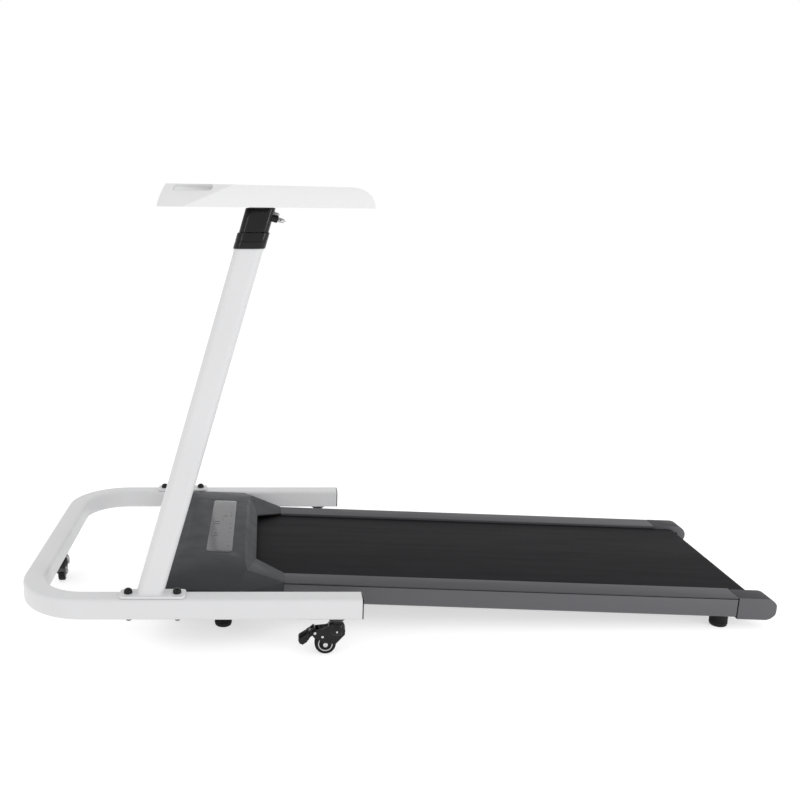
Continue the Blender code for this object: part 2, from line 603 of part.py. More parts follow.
def make_caster(name):
    """Caster built round the origin's swivel axis, trailing towards -X, then put in place."""
    place = caster_matrix(name)
    axle = Vector((-CASTER_TRAIL, 0, WHEEL_RADIUS))
    cup_low, cup_high = RAIL_BOTTOM - 0.0048, RAIL_BOTTOM - GAP
    mount = turned(f"caster_mount_{name}",
                   [(0.0, cup_high + 0.011), (0.0060, cup_high + 0.011), (0.0060, cup_high),
                    (0.0180, cup_high), (0.0190, cup_high - 0.001), (0.0190, cup_low), (0.0050, cup_low),
                    (0.0050, cup_low - 0.0170), (0.0, cup_low - 0.0170)], DARK_STEEL, 16)
    mount.matrix_world = place

    half = FORK_WIDTH / 2
    outline = [(0.0100, 0.0700), (-0.0120, 0.0700), (-0.0180, 0.0610), (-0.0230, 0.0590), (-0.0440, 0.0568),
               (-0.0510, 0.0530), (-0.0525, 0.0450), (-0.0470, 0.0385), (-0.0360, 0.0345)]
    outline += arc((axle.x, axle.z), 0.0068, 170, 340, 6)
    outline += [(-0.0090, 0.0262), (-0.0010, 0.0262), (0.0172, 0.0465), (0.0180, 0.0560)]
    fork = prism(f"caster_fork_{name}", [outline], (-half, half), "XZ", BLACK_PLASTIC)
    head = turned(f"fork_head_{name}",
                  [(0.0, cup_low - GAP), (0.0125, cup_low - GAP), (0.0125, 0.0705), (0.0158, 0.0675),
                   (0.0182, 0.0610), (0.0188, 0.0540), (0.0180, 0.0480), (0.0150, 0.0440), (0.0, 0.0440)],
                  None, 20)
    fuse(fork, head)
    wheel_room = cylinder(f"fork_slot_{name}", (axle.x, -FORK_SLOT / 2, axle.z),
                          (axle.x, FORK_SLOT / 2, axle.z), WHEEL_RADIUS + 0.0022, segments=20)
    pedal_room = box(f"fork_pedal_room_{name}", (-0.0700, -FORK_SLOT / 2, 0.0300),
                     (-0.0380, FORK_SLOT / 2, 0.0700))
    stem_room = cylinder(f"fork_stem_room_{name}", (0, 0, cup_low - 0.0178), (0, 0, 0.0900), 0.0053,
                         segments=12)
    cut(fork, wheel_room, pedal_room, stem_room)
    axle_pin = cylinder(f"fork_axle_{name}", axle + Vector((0, -half - 0.001, 0)),
                        axle + Vector((0, half + 0.001, 0)), 0.0035, segments=12)
    pedal_pin = cylinder(f"fork_pedal_pin_{name}", (-0.0460, -half - 0.001, 0.0490),
                         (-0.0460, half + 0.001, 0.0490), 0.0020, segments=8)
    fuse(fork, axle_pin, pedal_pin)
    for tool in (fork, head, wheel_room, pedal_room, stem_room, axle_pin, pedal_pin):
        tool.matrix_world = place

    half_wheel = WHEEL_WIDTH / 2
    wheel = turned(f"caster_wheel_{name}",
                   [(0.0039, half_wheel), (0.0200, half_wheel), (WHEEL_RADIUS, half_wheel - 0.0030),
                    (WHEEL_RADIUS, -half_wheel + 0.0030), (0.0200, -half_wheel), (0.0039, -half_wheel)],
                   SOFT_RUBBER, 32, closed=True)
    wheel.matrix_world = place @ Matrix.Translation(axle) @ Matrix.Rotation(math.radians(90), 4, "X")

    pedal_outline = [(-0.0415, 0.0520), (-0.0430, 0.0560), (-0.0484, 0.0621), (-0.0560, 0.0549)]
    pedal_outline += [(-0.0644, 0.0469), (-0.0795, 0.0368), (-0.0810, 0.0320), (-0.0780, 0.0260),
                      (-0.0716, 0.0232), (-0.0638, 0.0286), (-0.0560, 0.0385), (-0.0500, 0.0430),
                      (-0.0440, 0.0440), (-0.0415, 0.0465)]
    pedal = prism(f"caster_brake_{name}", [pedal_outline], (-0.0088, 0.0088), "XZ", BLACK_PLASTIC)
    toe = prism(f"pedal_toe_{name}", [rounded_rectangle((-0.0840, -0.0125), (-0.0555, 0.0125), 0.006, 3)],
                (0.02, 0.07))
    blade = prism(f"pedal_blade_{name}", [pedal_outline[3:11]], (-0.0125, 0.0125), "XZ")
    combine(blade, "INTERSECT", [toe])
    fuse(pedal, blade)
    pin_hole = cylinder(f"pedal_pin_hole_{name}", (-0.0460, -0.02, 0.0490), (-0.0460, 0.02, 0.0490), 0.0023,
                        segments=8)
    cut(pedal, pin_hole)
    for tool in (pedal, toe, blade, pin_hole):
        tool.matrix_world = place


# ---------------------------------------------------------------- treadmill deck
def add_incline():
    """Empty that tips the whole deck down towards its rear end."""
    incline = bpy.data.objects.new("deck_incline", None)
    incline.location = DECK_ORIGIN
    incline.rotation_euler = (0, DECK_INCLINE, 0)
    PARTS.objects.link(incline)
    return incline


def sided(sign, points):
    """Outline given for the right side in (v, w); mirrored for the left."""
    return [(sign * v, w) for v, w in points]


def sided_plan(sign, points):
    """The same for a plan outline in (u, v)."""
    return [(u, sign * v) for u, v in points]


def make_side_rail(side, sign):
    """Extruded channel: tall outer wall, top flange under the foot rail, short bottom flange."""
    outer, wall = DECK_HALF_WIDTH, 0.0025
    section = [(outer, SIDE_BOTTOM + 0.003), (outer, -0.0043), (outer - wall, -0.0043),
               (outer - wall, -0.0055), (0.2125, -0.0055), (0.2125, -0.0080),
               (outer - wall, -0.0080), (outer - wall, SIDE_BOTTOM + wall),
               (outer - 0.008, SIDE_BOTTOM + wall), (outer - 0.008, SIDE_BOTTOM),
               (outer - 0.003, SIDE_BOTTOM)]
    prism(f"side_rail_{side}", [sided(sign, section)], (GAP, CAP_SEAM - 0.0026), "YZ", RAIL_PAINT)


def make_foot_rail(side, sign):
    """Flat strip beside the belt, with two feet that leave a groove along its outer edge."""
    outer, inner = DECK_HALF_WIDTH, 0.2085
    section = [(outer, -0.0024), (outer - 0.0008, 0.0), (inner + 0.001, 0.0), (inner, -0.001),
               (inner, -0.0060),
               (inner + 0.002, -0.0060), (inner + 0.002, -0.0032), (inner + 0.010, -0.0032),
               (inner + 0.010, -0.0052), (inner + 0.013, -0.0052), (inner + 0.013, -0.0032),
               (outer - 0.008, -0.0032), (outer - 0.008, -0.0052), (outer - 0.005, -0.0052),
               (outer - 0.005, -0.0024)]
    prism(f"foot_rail_{side}", [sided(sign, section)], (GAP, CAP_SEAM - 0.0015), "YZ", RAIL_PAINT)


def make_deck_board():
    board = prism("deck_board", [rounded_rectangle((-0.0700, -0.2340), (1.0030, 0.2340), 0.004, 2)],
                  BOARD_W, material=BOARD)
    return board


def make_running_belt():
    inner_radius = ROLLER_RADIUS + GAP
    front, rear = (FRONT_ROLLER_U, ROLLER_W), (REAR_ROLLER_U, ROLLER_W)
    outer = around_pulleys(front, rear, inner_radius + BELT_THICKNESS, inner_radius + BELT_THICKNESS)
    inner = around_pulleys(front, rear, inner_radius, inner_radius)
    prism("running_belt", [outer, inner], (-BELT_HALF_WIDTH, BELT_HALF_WIDTH), "XZ", BELT_RUBBER)


def make_front_roller():
    """Driven roller, its shaft and its drive pulley in one turned piece along Y."""
    groove = 0.0012
    profile = [(0.0, PULLEY_V[1] + 0.004), (0.006, PULLEY_V[1] + 0.004), (0.006, PULLEY_V[1])]
    profile += grooved(ROLLER_PULLEY_RADIUS, groove)
    profile += [(0.006, PULLEY_V[0]), (0.006, 0.2080), (ROLLER_RADIUS - 0.001, 0.2080),
                (ROLLER_RADIUS, 0.2060), (ROLLER_RADIUS, -0.2060), (ROLLER_RADIUS - 0.001, -0.2080),
                (0.006, -0.2080), (0.006, -0.2330),
                (0.0, -0.2330)]
    roller = turned("front_roller", profile, BARE_STEEL, 20)
    roller.rotation_euler = (math.radians(-90), 0, 0)
    roller.location = (FRONT_ROLLER_U, 0, ROLLER_W)
    return roller


def grooved(radius, depth, count=2):
    """Ribbed rim of a pulley between the two faces of PULLEY_V, from the outer face inwards."""
    points = [(radius, PULLEY_V[1])]
    pitch = (PULLEY_V[1] - PULLEY_V[0] - 0.004) / count
    start = PULLEY_V[1] - 0.002
    for index in range(count):
        top = start - index * pitch
        points += [(radius - depth / 2, top), (radius - depth, top - pitch / 2)]
    points += [(radius - depth / 2, start - count * pitch), (radius, PULLEY_V[0])]
    return points


def make_rear_roller():
    profile = [(0.0063, 0.2060), (ROLLER_RADIUS - 0.001, 0.2060), (ROLLER_RADIUS, 0.2040),
               (ROLLER_RADIUS, -0.2040),
               (ROLLER_RADIUS - 0.001, -0.2060), (0.0063, -0.2060)]
    roller = turned("rear_roller", profile, BARE_STEEL, 20, closed=True)
    roller.rotation_euler = (math.radians(-90), 0, 0)
    roller.location = (REAR_ROLLER_U, 0, ROLLER_W)
    axle = cylinder("rear_axle", (REAR_ROLLER_U, -0.2330, ROLLER_W),
                    (REAR_ROLLER_U, 0.2330, ROLLER_W), 0.0060,
                    BARE_STEEL, segments=20)
    return roller, axle


def channel(name, axis_span, low, high, wall, plane):
    """U-channel with its open side towards the first coordinate's end, as a closed outline."""
    (a0, b0), (a1, b1) = low, high
    shift = wall if a1 > a0 else -wall
    outline = [(a0, b0), (a1, b0), (a1, b0 + wall), (a0 + shift, b0 + wall), (a0 + shift, b1 - wall),
               (a1, b1 - wall), (a1, b1), (a0, b1)]
    return prism(name, [outline], axis_span, plane, DARK_STEEL)


def make_chassis():
    """Two side channels and six cross channels welded into one ladder frame."""
    front, rear = -0.2800, BEAM_END
    ladder = channel("chassis_frame", (front, rear), (-BEAM_V[0], BEAM_W[0]), (-BEAM_V[1], BEAM_W[1]),
                     BEAM_WALL, "YZ")
    fuse(ladder, *(cross_member(index, u) for index, u in enumerate(CROSS_U)))
    fuse(ladder, channel("chassis_beam_right", (front, rear), (BEAM_V[0], BEAM_W[0]), (BEAM_V[1], BEAM_W[1]),
                         BEAM_WALL, "YZ"))
    for side, sign in SIDES.items():
        spans = sorted((sign * (BEAM_V[0] + 0.001), sign * BEAM_V[1]))
        end_plate = box(f"beam_end_{side}", (rear - 0.003, spans[0], BEAM_W[0] + 0.0005),
                        (rear - 0.0005, spans[1], BEAM_W[1] - 0.0005))
        fuse(ladder, end_plate)
    across = BEAM_V[1] + 0.02
    cut(ladder, cylinder("front_shaft_hole", (FRONT_ROLLER_U, -across, ROLLER_W),
                         (FRONT_ROLLER_U, across, ROLLER_W), 0.0064, segments=20))
    cut(ladder, box("rear_axle_slot", (REAR_ROLLER_U - 0.012, -across, ROLLER_W - 0.0063),
                    (REAR_ROLLER_U + 0.012, across, ROLLER_W + 0.0063)))
    for side, sign in SIDES.items():
        v = sign * sum(BEAM_V) / 2
        cut(ladder, cylinder(f"tension_hole_{side}", (rear - 0.02, v, ROLLER_W), (rear + 0.01, v, ROLLER_W),
                             0.0036, segments=16))
    return ladder


def cross_member(index, u):
    """Channel open downwards, running between the side beams inside the belt loop."""
    half, top, bottom, wall = 0.0110, -0.0225, -0.0385, 0.0018
    outline = [(u - half, bottom), (u - half, top), (u + half, top), (u + half, bottom),
               (u + half - wall, bottom), (u + half - wall, top - wall), (u - half + wall, top - wall),
               (u - half + wall, bottom)]
    reach = BEAM_V[0] + 0.001
    return prism(f"cross_member_{index + 1}", [outline], (-reach, reach), "XZ")


def cap_profile(inset, open_front):
    """Side view of a rear end cap: flat top, full round nose with concentric insets."""
    start = CAP_SEAM - open_front
    tip = -0.0245
    low_radius, high_radius = (0.0255 - inset, tip - CAP_BOTTOM - inset), (0.0255 - inset, -tip - inset)
    points = [(start, -inset), (start, CAP_BOTTOM + inset)]
    points += arc((DECK_END - 0.0255, tip), low_radius, 270, 360, 8)
    points += arc((DECK_END - 0.0255, tip), high_radius, 0, 90, 8)[1:]
    return points


def cap_rounding(name, sign, inset):
    """Plan outline that rounds an end cap's outer corner; its straight sides stand just clear."""
    outer, clear, corner = DECK_HALF_WIDTH, 0.0004, 0.0045
    reach = (corner - inset + clear, corner - inset + clear)
    plan = [(CAP_SEAM - 0.05, 0.20), (CAP_SEAM - 0.05, outer - inset + clear)]
    plan += arc((DECK_END - corner, outer - corner), reach, 90, 0, 4)
    plan += [(DECK_END - inset + clear, 0.20)]
    return prism(name, [sided_plan(sign, plan)], (-0.08, 0.03))


def make_end_cap(side, sign):
    inner, outer, wall = CAP_INNER, DECK_HALF_WIDTH, 0.0022
    cap = prism(f"end_cap_{side}", [cap_profile(0.0, 0.0)], (sign * inner, sign * outer), "XZ", RAIL_PAINT)
    combine(cap, "INTERSECT", [cap_rounding(f"cap_plan_{side}", sign, 0.0)])
    hollow = prism(f"cap_hollow_{side}", [cap_profile(wall, 0.01)],
                   (sign * (inner + wall), sign * (outer - wall)), "XZ")
    combine(hollow, "INTERSECT", [cap_rounding(f"cap_plan_in_{side}", sign, wall)])
    beam_room = box(f"cap_beam_room_{side}", (CAP_SEAM - 0.01, sign * 0.20, BEAM_W[0] - 0.0012),
                    (BEAM_END + 0.0015, sign * (inner + wall + 0.0010), ROLLER_W + 0.0072))
    v = sign * sum(BEAM_V) / 2
    bolt_hole = cylinder(f"cap_bolt_hole_{side}", (DECK_END - 0.03, v, ROLLER_W),
                         (DECK_END + 0.01, v, ROLLER_W),
                         0.0062, segments=14)
    return cut(cap, hollow, beam_room, bolt_hole)


def make_tension_bolt(side, sign):
    """Socket-head bolt that pulls the rear axle back; its head sits in the end cap's hole."""
    v = sign * sum(BEAM_V) / 2
    head, tip = DECK_END - 0.0040, REAR_ROLLER_U + 0.0066
    profile = [(0.0, 0.0), (0.0050, 0.0), (0.0055, -0.0008), (0.0055, -0.0070), (0.0033, -0.0070),
               (0.0033, tip - head), (0.0, tip - head)]
    bolt = turned(f"tension_bolt_{side}", profile, DARK_STEEL, 14)
    bolt.rotation_euler = (0, math.radians(90), 0)
    bolt.location = (head, v, ROLLER_W)
    socket = cylinder(f"tension_socket_{side}", (head - 0.0040, v, ROLLER_W),
                      (head + 0.002, v, ROLLER_W), 0.0030,
                      segments=6)
    cut(bolt, socket)
    return bolt, socket


def make_foot(side, sign, end, x):
    """Rubber foot under the pan (front) or under the ladder frame (rear)."""
    top_w = HOOD_SKIRT - 0.0028 if end == "front" else BEAM_W[0]
    deck_height = DECK_ORIGIN.z - (x - DECK_ORIGIN.x) * math.tan(DECK_INCLINE)
    top = deck_height + top_w - FOOT_RADIUS * math.tan(DECK_INCLINE) - 0.0006
    radius = FOOT_RADIUS
    profile = [(0.0, top), (radius - 0.001, top), (radius, top - 0.002), (radius, 0.006),
               (radius - 0.002, 0.0012),
               (radius - 0.0045, 0.0), (0.0, 0.0)]
    foot = turned(f"foot_{end}_{side}", profile, SOFT_RUBBER, 20)
    foot.location = (x, sign * FOOT_Y, 0)


# ---------------------------------------------------------------- motor hood
def crown(v, lowered=0.0):
    """Height of the hood's top across its width."""
    return CROWN_TOP - CROWN_DROP * (abs(v) / HOOD_HALF_WIDTH) ** CROWN_POWER - lowered


def hood_plan(inset, overrun):
    """Plan outline: full width at the front, chamfered down to the deck's width at the seam."""
    front, half, neck = HOOD_FRONT + inset - 0.002, HOOD_HALF_WIDTH - inset, DECK_HALF_WIDTH - inset
    corner = 0.030
    right = arc((front + corner, half - corner), corner, 180, 90, 4)
    right += [(HOOD_SHOULDER - inset * 0.4, half), (-inset * 0.4, neck)]
    if overrun:
        right.append((overrun, neck))
    return right + [(u, -v) for u, v in reversed(right)]


def hood_side(inset, bottom):
    """Side view: upright front, bowed nose, and a top that clears the crown."""
    rise = CROWN_TOP + 0.004
    nose = arc((HOOD_FRONT + 0.100, -0.0150), (0.100 - inset, rise + 0.0150 - inset), 180, 90, 8)
    return [(HOOD_FRONT + inset, bottom)] + nose + [(0.03, rise - inset), (0.03, bottom)]


def hood_solid(name, inset, bottom, overrun, material=None):
    """Plan, side and crown outlines intersected, then the slope down to each deck side."""
    solid = prism(name, [hood_plan(inset, overrun)], (bottom, 0.08), material=material)
    side_tool = prism(name + "_side", [hood_side(inset, bottom - 0.01)], (-0.36, 0.36), "XZ")
    steps, reach = 20, 0.36
    line = [-reach + 2 * reach * i / steps for i in range(steps + 1)]
    section = [(v, crown(min(abs(v), HOOD_HALF_WIDTH), inset)) for v in line]
    section += [(reach, bottom - 0.01), (-reach, bottom - 0.01)]
    crown_tool = prism(name + "_crown", [section], (HOOD_FRONT - 0.02, 0.05), "YZ")
    combine(solid, "INTERSECT", [side_tool, crown_tool])
    for side, sign in SIDES.items():
        slope = box(f"{name}_slope_{side}", (-0.25, -0.25, 0.0), (0.25, 0.25, 0.10))
        ridge = Vector((RIDGE_CORNER[0], sign * RIDGE_CORNER[1], RIDGE_CORNER[2]))
        seam = Vector((0.0, sign * DECK_HALF_WIDTH, 0.0002))
        shoulder = Vector((HOOD_SHOULDER, sign * HOOD_HALF_WIDTH, crown(HOOD_HALF_WIDTH)))
        frame = facet_frame(ridge, seam - ridge, shoulder - ridge, Vector((0, 0, 1)))
        slope.matrix_world = Matrix.Translation((0, 0, -inset * 1.08)) @ frame
        cut(solid, slope)
    return solid


def opening_funnel(name, lift, grow):
    """Sloping facets round the belt opening, as the solid that they bound from below."""
    corners = [(OPENING_EDGE - grow, OPENING_CORNER_V + grow, 0.0110),
               (0.0040, BELT_HALF_WIDTH + grow, 0.0),
               (0.0040, DECK_HALF_WIDTH + 0.0005, 0.0),
               (0.0600, DECK_HALF_WIDTH + 0.0100, 0.0),
               (RIDGE_CORNER[0] - grow, RIDGE_CORNER[1] + grow, RIDGE_CORNER[2]),
               (RIDGE_U - grow, OPENING_CORNER_V + 0.0200, CROWN_TOP - 0.0015),
               (RIDGE_U - 0.0370 - grow, OPENING_CORNER_V + 0.0200, 0.0800),
               (0.0600, 0.3100, 0.0290), (0.0600, 0.3000, 0.0800)]
    bm = bmesh.new()
    for u, v, w in corners:
        for sign in (1, -1):
            bm.verts.new((u, sign * v, w + lift))
    bmesh.ops.convex_hull(bm, input=bm.verts)
    loose = [vert for vert in bm.verts if not vert.link_faces]
    bmesh.ops.delete(bm, geom=loose, context="VERTS")
    face_outwards(bm)
    mesh = bpy.data.meshes.new(name)
    bm.to_mesh(mesh)
    bm.free()
    return add_object(name, mesh, None)


def window(name, v, size):
    """Opening in the hood's front wall for a socket or a switch."""
    half_v, half_w = size[0] / 2 + GAP, size[1] / 2 + GAP
    return box(name, (HOOD_FRONT - 0.01, v - half_v, SOCKET_W - half_w),
               (HOOD_FRONT + 0.01, v + half_v, SOCKET_W + half_w))


def make_hood():
    hood = hood_solid("motor_hood", 0.0, HOOD_SKIRT, 0.0, GREY_PLASTIC)
    cut(hood, opening_funnel("hood_funnel", 0.0, 0.0))
    hollow = hood_solid("hood_hollow", HOOD_WALL, HOOD_SKIRT - 0.01, 0.02)
    cut(hollow, opening_funnel("hood_inner_funnel", -HOOD_WALL, 0.0015))
    clear = 0.0004
    right = [(OPENING_EDGE - clear, OPENING_CORNER_V + clear), (0.0, BELT_HALF_WIDTH + 2 * clear),
             (0.05, BELT_HALF_WIDTH + 2 * clear)]
    doorway = prism("hood_doorway", [right + [(u, -v) for u, v in reversed(right)]], (-0.08, 0.05))
    recess = display_strip("display_recess", GAP, -0.0012, 0.02)
    inlet_window = window("inlet_window", INLET_V, INLET_SIZE)
    switch_window = window("switch_window", SWITCH_V, SWITCH_SIZE)
    return cut(hood, hollow, doorway, recess, inlet_window, switch_window)


def display_strip(name, margin, low, high, material=None):
    """Rounded strip that follows the hood's crown between two heights above it."""
    half_u, half_v = DISPLAY_SIZE[0] / 2 + margin, DISPLAY_SIZE[1] / 2 + margin
    steps = 16
    line = [-0.20 + 0.40 * i / steps for i in range(steps + 1)]
    section = [(v, crown(v) + high) for v in line] + [(v, crown(v) + low) for v in reversed(line)]
    strip = prism(name, [section], (DISPLAY_U - 0.05, DISPLAY_U + 0.05), "YZ", material)
    outline = rounded_rectangle((DISPLAY_U - half_u, -half_v), (DISPLAY_U + half_u, half_v), 0.010, 4)
    combine(strip, "INTERSECT", [prism(name + "_plan", [outline], (0.0, 0.08))])
    return strip


def make_bottom_pan():
    """Flat floor under the motor with two ears beside the belt, open where the belt returns."""
    half, neck, notch = HOOD_HALF_WIDTH, DECK_HALF_WIDTH, 0.2105
    corner = 0.030
    right = arc((HOOD_FRONT + corner, half - corner), corner, 180, 90, 4)
    right += [(HOOD_SHOULDER, half), (-0.004, neck), (-0.004, notch), (-0.1300, notch)]
    outline = right + [(u, -v) for u, v in reversed(right)]
    return prism("bottom_pan", [outline], (HOOD_SKIRT - 0.0028, HOOD_SKIRT - GAP), material=DARK_STEEL)


# ---------------------------------------------------------------- drive
def make_motor():
    body = turned("drive_motor", [(0.0, MOTOR_V[1]), (0.0120, MOTOR_V[1]), (0.0120, MOTOR_V[1] - 0.003),
                                  (MOTOR_RADIUS - 0.003, MOTOR_V[1] - 0.003),
                                  (MOTOR_RADIUS, MOTOR_V[1] - 0.008),
                                  (MOTOR_RADIUS, MOTOR_V[0] + 0.006), (MOTOR_RADIUS - 0.003, MOTOR_V[0]),
                                  (0.0, MOTOR_V[0])], DARK_STEEL, 24)
    body.rotation_euler = (math.radians(-90), 0, 0)
    body.location = (MOTOR_U, 0, MOTOR_W)

    floor = HOOD_SKIRT + GAP
    rim = MOTOR_RADIUS + GAP
    saddle = [(MOTOR_U - 0.030, floor), (MOTOR_U + 0.030, floor)]
    saddle += arc((MOTOR_U, MOTOR_W), rim, -35, -145, 8)
    cradle = prism("motor_cradle", [saddle], (MOTOR_V[0] + 0.015, MOTOR_V[1] - 0.015), "XZ", BARE_STEEL)

    start = MOTOR_V[1] + GAP
    rotor = turned("motor_rotor", [(0.0, 0.2790), (0.0055, 0.2790), (0.0055, 0.2770), (0.0240, 0.2770),
                                   (0.0250, 0.2760), (0.0250, 0.2640), (0.0240, 0.2630), (0.0055, 0.2630),
                                   (0.0055, PULLEY_V[1])] + grooved(MOTOR_PULLEY_RADIUS, 0.0012)
                   + [(0.0055, PULLEY_V[0]), (0.0055, start), (0.0, start)], BARE_STEEL, 18)
    rotor.rotation_euler = (math.radians(-90), 0, 0)
    rotor.location = (MOTOR_U, 0, MOTOR_W)

    motor, roller = (MOTOR_U, MOTOR_W), (FRONT_ROLLER_U, ROLLER_W)
    inner = (MOTOR_PULLEY_RADIUS + GAP, ROLLER_PULLEY_RADIUS + GAP)
    outer = (inner[0] + 0.0022, inner[1] + 0.0022)
    belt = prism("drive_belt", [around_pulleys(motor, roller, *outer), around_pulleys(motor, roller, *inner)],
                 (PULLEY_V[0] + 0.0015, PULLEY_V[1] - 0.0015), "XZ", BELT_RUBBER)
    return body, cradle, rotor, belt


def make_controller():
    """Control box with a row of cooling fins, as one comb-shaped outline."""
    low, high, fins = (-0.2500, -0.0470), (-0.1650, -0.0250), 9
    pitch = (high[0] - low[0]) / fins
    comb = [low, (high[0], low[1])]
    for index in range(fins):
        right = high[0] - index * pitch
        comb += [(right, 0.0080), (right - pitch * 0.45, 0.0080), (right - pitch * 0.45, high[1])]
        if index < fins - 1:
            comb += [(right - pitch, high[1])]
    comb += [(low[0], high[1])]
    return prism("motor_controller", [comb], (-0.1500, -0.0200), "XZ", HEAT_SINK)


def make_inlet_and_switch():
    """Power socket and rocker switch in the hood's front wall."""
    half_v, half_w, wall = INLET_SIZE[0] / 2, INLET_SIZE[1] / 2, 0.0030
    inlet = box("power_inlet", (HOOD_FRONT - 0.0012, INLET_V - half_v, SOCKET_W - half_w),
                (HOOD_FRONT + 0.0220, INLET_V + half_v, SOCKET_W + half_w), BLACK_PLASTIC)
    cut(inlet, box("inlet_mouth", (HOOD_FRONT - 0.01, INLET_V - half_v + wall, SOCKET_W - half_w + wall),
                   (HOOD_FRONT + 0.0170, INLET_V + half_v - wall, SOCKET_W + half_w - wall)))
    half_w = SWITCH_SIZE[1] / 2 - 0.0012
    rocker = [(0.0090, -half_w + 0.002), (0.0020, -half_w), (-0.0012, -half_w), (-0.0032, -half_w + 0.0006),
              (-0.0002, 0.0), (-0.0032, half_w - 0.0006), (-0.0012, half_w), (0.0020, half_w),
              (0.0090, half_w - 0.002)]
    outline = [(HOOD_FRONT + u, SOCKET_W + w) for u, w in rocker]
    half_v = SWITCH_SIZE[0] / 2
    switch = prism("power_switch", [outline], (SWITCH_V - half_v, SWITCH_V + half_v), "XZ", BLACK_PLASTIC)
    move_origin(switch, (HOOD_FRONT + SWITCH_PIVOT, SWITCH_V, SOCKET_W))


def set_on_incline(incline, items):
    """Hang pieces that were built in the deck's own frame from the incline."""
    for item in items:
        item.parent = incline


def make_treadmill():
    incline = add_incline()
    before = set(bpy.data.objects)
    for side, sign in SIDES.items():
        make_side_rail(side, sign)
        make_foot_rail(side, sign)
        make_end_cap(side, sign)
        make_tension_bolt(side, sign)
    make_deck_board()
    make_running_belt()
    make_front_roller()
    make_rear_roller()
    make_chassis()
    make_hood()
    display_strip("display_panel", 0.0, -0.0009, 0.0006, DISPLAY_GREY)
    make_bottom_pan()
    make_motor()
    make_controller()
    make_inlet_and_switch()
    set_on_incline(incline, [item for item in bpy.data.objects if item not in before])
    for side, sign in SIDES.items():
        for end, x in zip(("front", "rear"), FOOT_X):
            make_foot(side, sign, end, x)


def make_desk_frame():
    make_base_frame()
    for side, sign in SIDES.items():
        make_rail_plug(side, sign)
        make_post(side, sign)
        make_post_collar(side, sign)
        make_clamp_sleeve(side, sign)
        make_wing_screw(side, sign)
        for index in range(len(BOLT_X)):
            make_base_bolt(side, sign, index)
    for name in CASTERS:
        make_caster(name)


def make_desk():
    make_desk_top()
    make_desk_crossbar()
    for side, sign in SIDES.items():
        make_inner_leg(side, sign)


make_treadmill()
make_desk_frame()
make_desk()
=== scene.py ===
"""Looks of the treadmill with its rolling standing desk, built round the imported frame."""
import json
import math

import bmesh
import bpy
from mathutils import Matrix, Vector


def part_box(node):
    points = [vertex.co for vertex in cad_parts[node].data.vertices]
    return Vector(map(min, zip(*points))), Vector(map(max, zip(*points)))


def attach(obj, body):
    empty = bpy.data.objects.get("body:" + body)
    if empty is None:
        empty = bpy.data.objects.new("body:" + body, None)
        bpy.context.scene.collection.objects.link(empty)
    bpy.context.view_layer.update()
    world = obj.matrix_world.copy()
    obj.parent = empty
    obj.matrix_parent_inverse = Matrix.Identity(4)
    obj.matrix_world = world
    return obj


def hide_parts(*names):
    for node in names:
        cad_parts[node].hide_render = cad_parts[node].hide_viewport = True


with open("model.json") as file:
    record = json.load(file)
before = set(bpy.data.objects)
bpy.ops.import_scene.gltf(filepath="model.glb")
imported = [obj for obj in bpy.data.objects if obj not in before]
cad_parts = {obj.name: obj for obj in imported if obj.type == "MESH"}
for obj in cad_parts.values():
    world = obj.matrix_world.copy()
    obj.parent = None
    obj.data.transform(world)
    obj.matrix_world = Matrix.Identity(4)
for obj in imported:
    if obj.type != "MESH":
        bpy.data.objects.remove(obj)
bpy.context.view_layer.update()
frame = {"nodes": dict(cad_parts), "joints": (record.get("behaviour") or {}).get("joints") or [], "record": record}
NODES = frame["nodes"]
JOINTS = {joint["name"]: joint for joint in frame["joints"]}
BODY_OF = {node: body for body, nodes in frame["record"]["behaviour"]["bodies"].items()
           for node in nodes}
SLOT_OF = {part["node"]: part["material_slot"] for part in frame["record"]["subparts"]}
SIDES = {"left": -1, "right": 1}
CASTERS = ("rear_left", "rear_right", "front")

# ---- sizes in metres; places come from the frame ----
GAP = 0.0003
TUBE_CORNER = 0.0080
TUBE_WALL = 0.0020
BEND_RADIUS = 0.126
POST_SECTION = (0.0578, 0.0310)
POST_WALL = 0.0020
LEG_SECTION = (0.0478, 0.0225)
SCREW_REACH = 0.0390              # wing screw's seat behind the post's centre line
FRONT_ROLLER_U = -0.1050
REAR_ROLLER_U = 1.0545
ROLLER_W = -0.0248
BELT_INNER = 0.0163
BELT_THICKNESS = 0.0018
DISPLAY_U = -0.1490
CROWN_TOP = 0.0385
CROWN_DROP = 0.0310
CROWN_POWER = 5
PLATE = (0.139, 0.042, 0.005)      # post foot plate
PLATE_CORNER = 0.008
WHEEL_HALF = 0.0085
CHEEK_Y = 0.0130                   # caster fork cheeks from its middle
HEAD_RADIUS = 0.0186
STEEL_FOOT = 0.002                 # post tube's lower end above the plate's underside
SHADED_GRAIN_FROM = 0.25                  # faces whose normal rises more than this count as upward
FLOOR_GLOW = 0.62
FLOOR_DROP = 0.0002                # keeps the floor just under the wheels and feet
SKY_TOP = 0.92
LENS = 42.75
LENS_SHIFT = 0.168
CAMERA_PLACE = (-0.3027, -2.2415, 0.947)
CAMERA_TILT = math.radians(78.0)


def joint_point(name):
    return Vector(JOINTS[name]["pos_m"])


def joint_axis(name):
    return Vector(JOINTS[name]["axis"]).normalized()


LIFT = joint_axis("desk_lift")
UPWARDS = Vector((0, 0, 1))
DECK_ALONG = joint_axis("tension_bolt_left_turn")
DECK_UP = Vector((-DECK_ALONG.z, 0, DECK_ALONG.x))
DECK_ORIGIN = joint_point("front_roller_spin") - DECK_ALONG * FRONT_ROLLER_U - DECK_UP * ROLLER_W
DECK = Matrix((DECK_ALONG, Vector((0, 1, 0)), DECK_UP)).transposed().to_4x4()
DECK.translation = DECK_ORIGIN


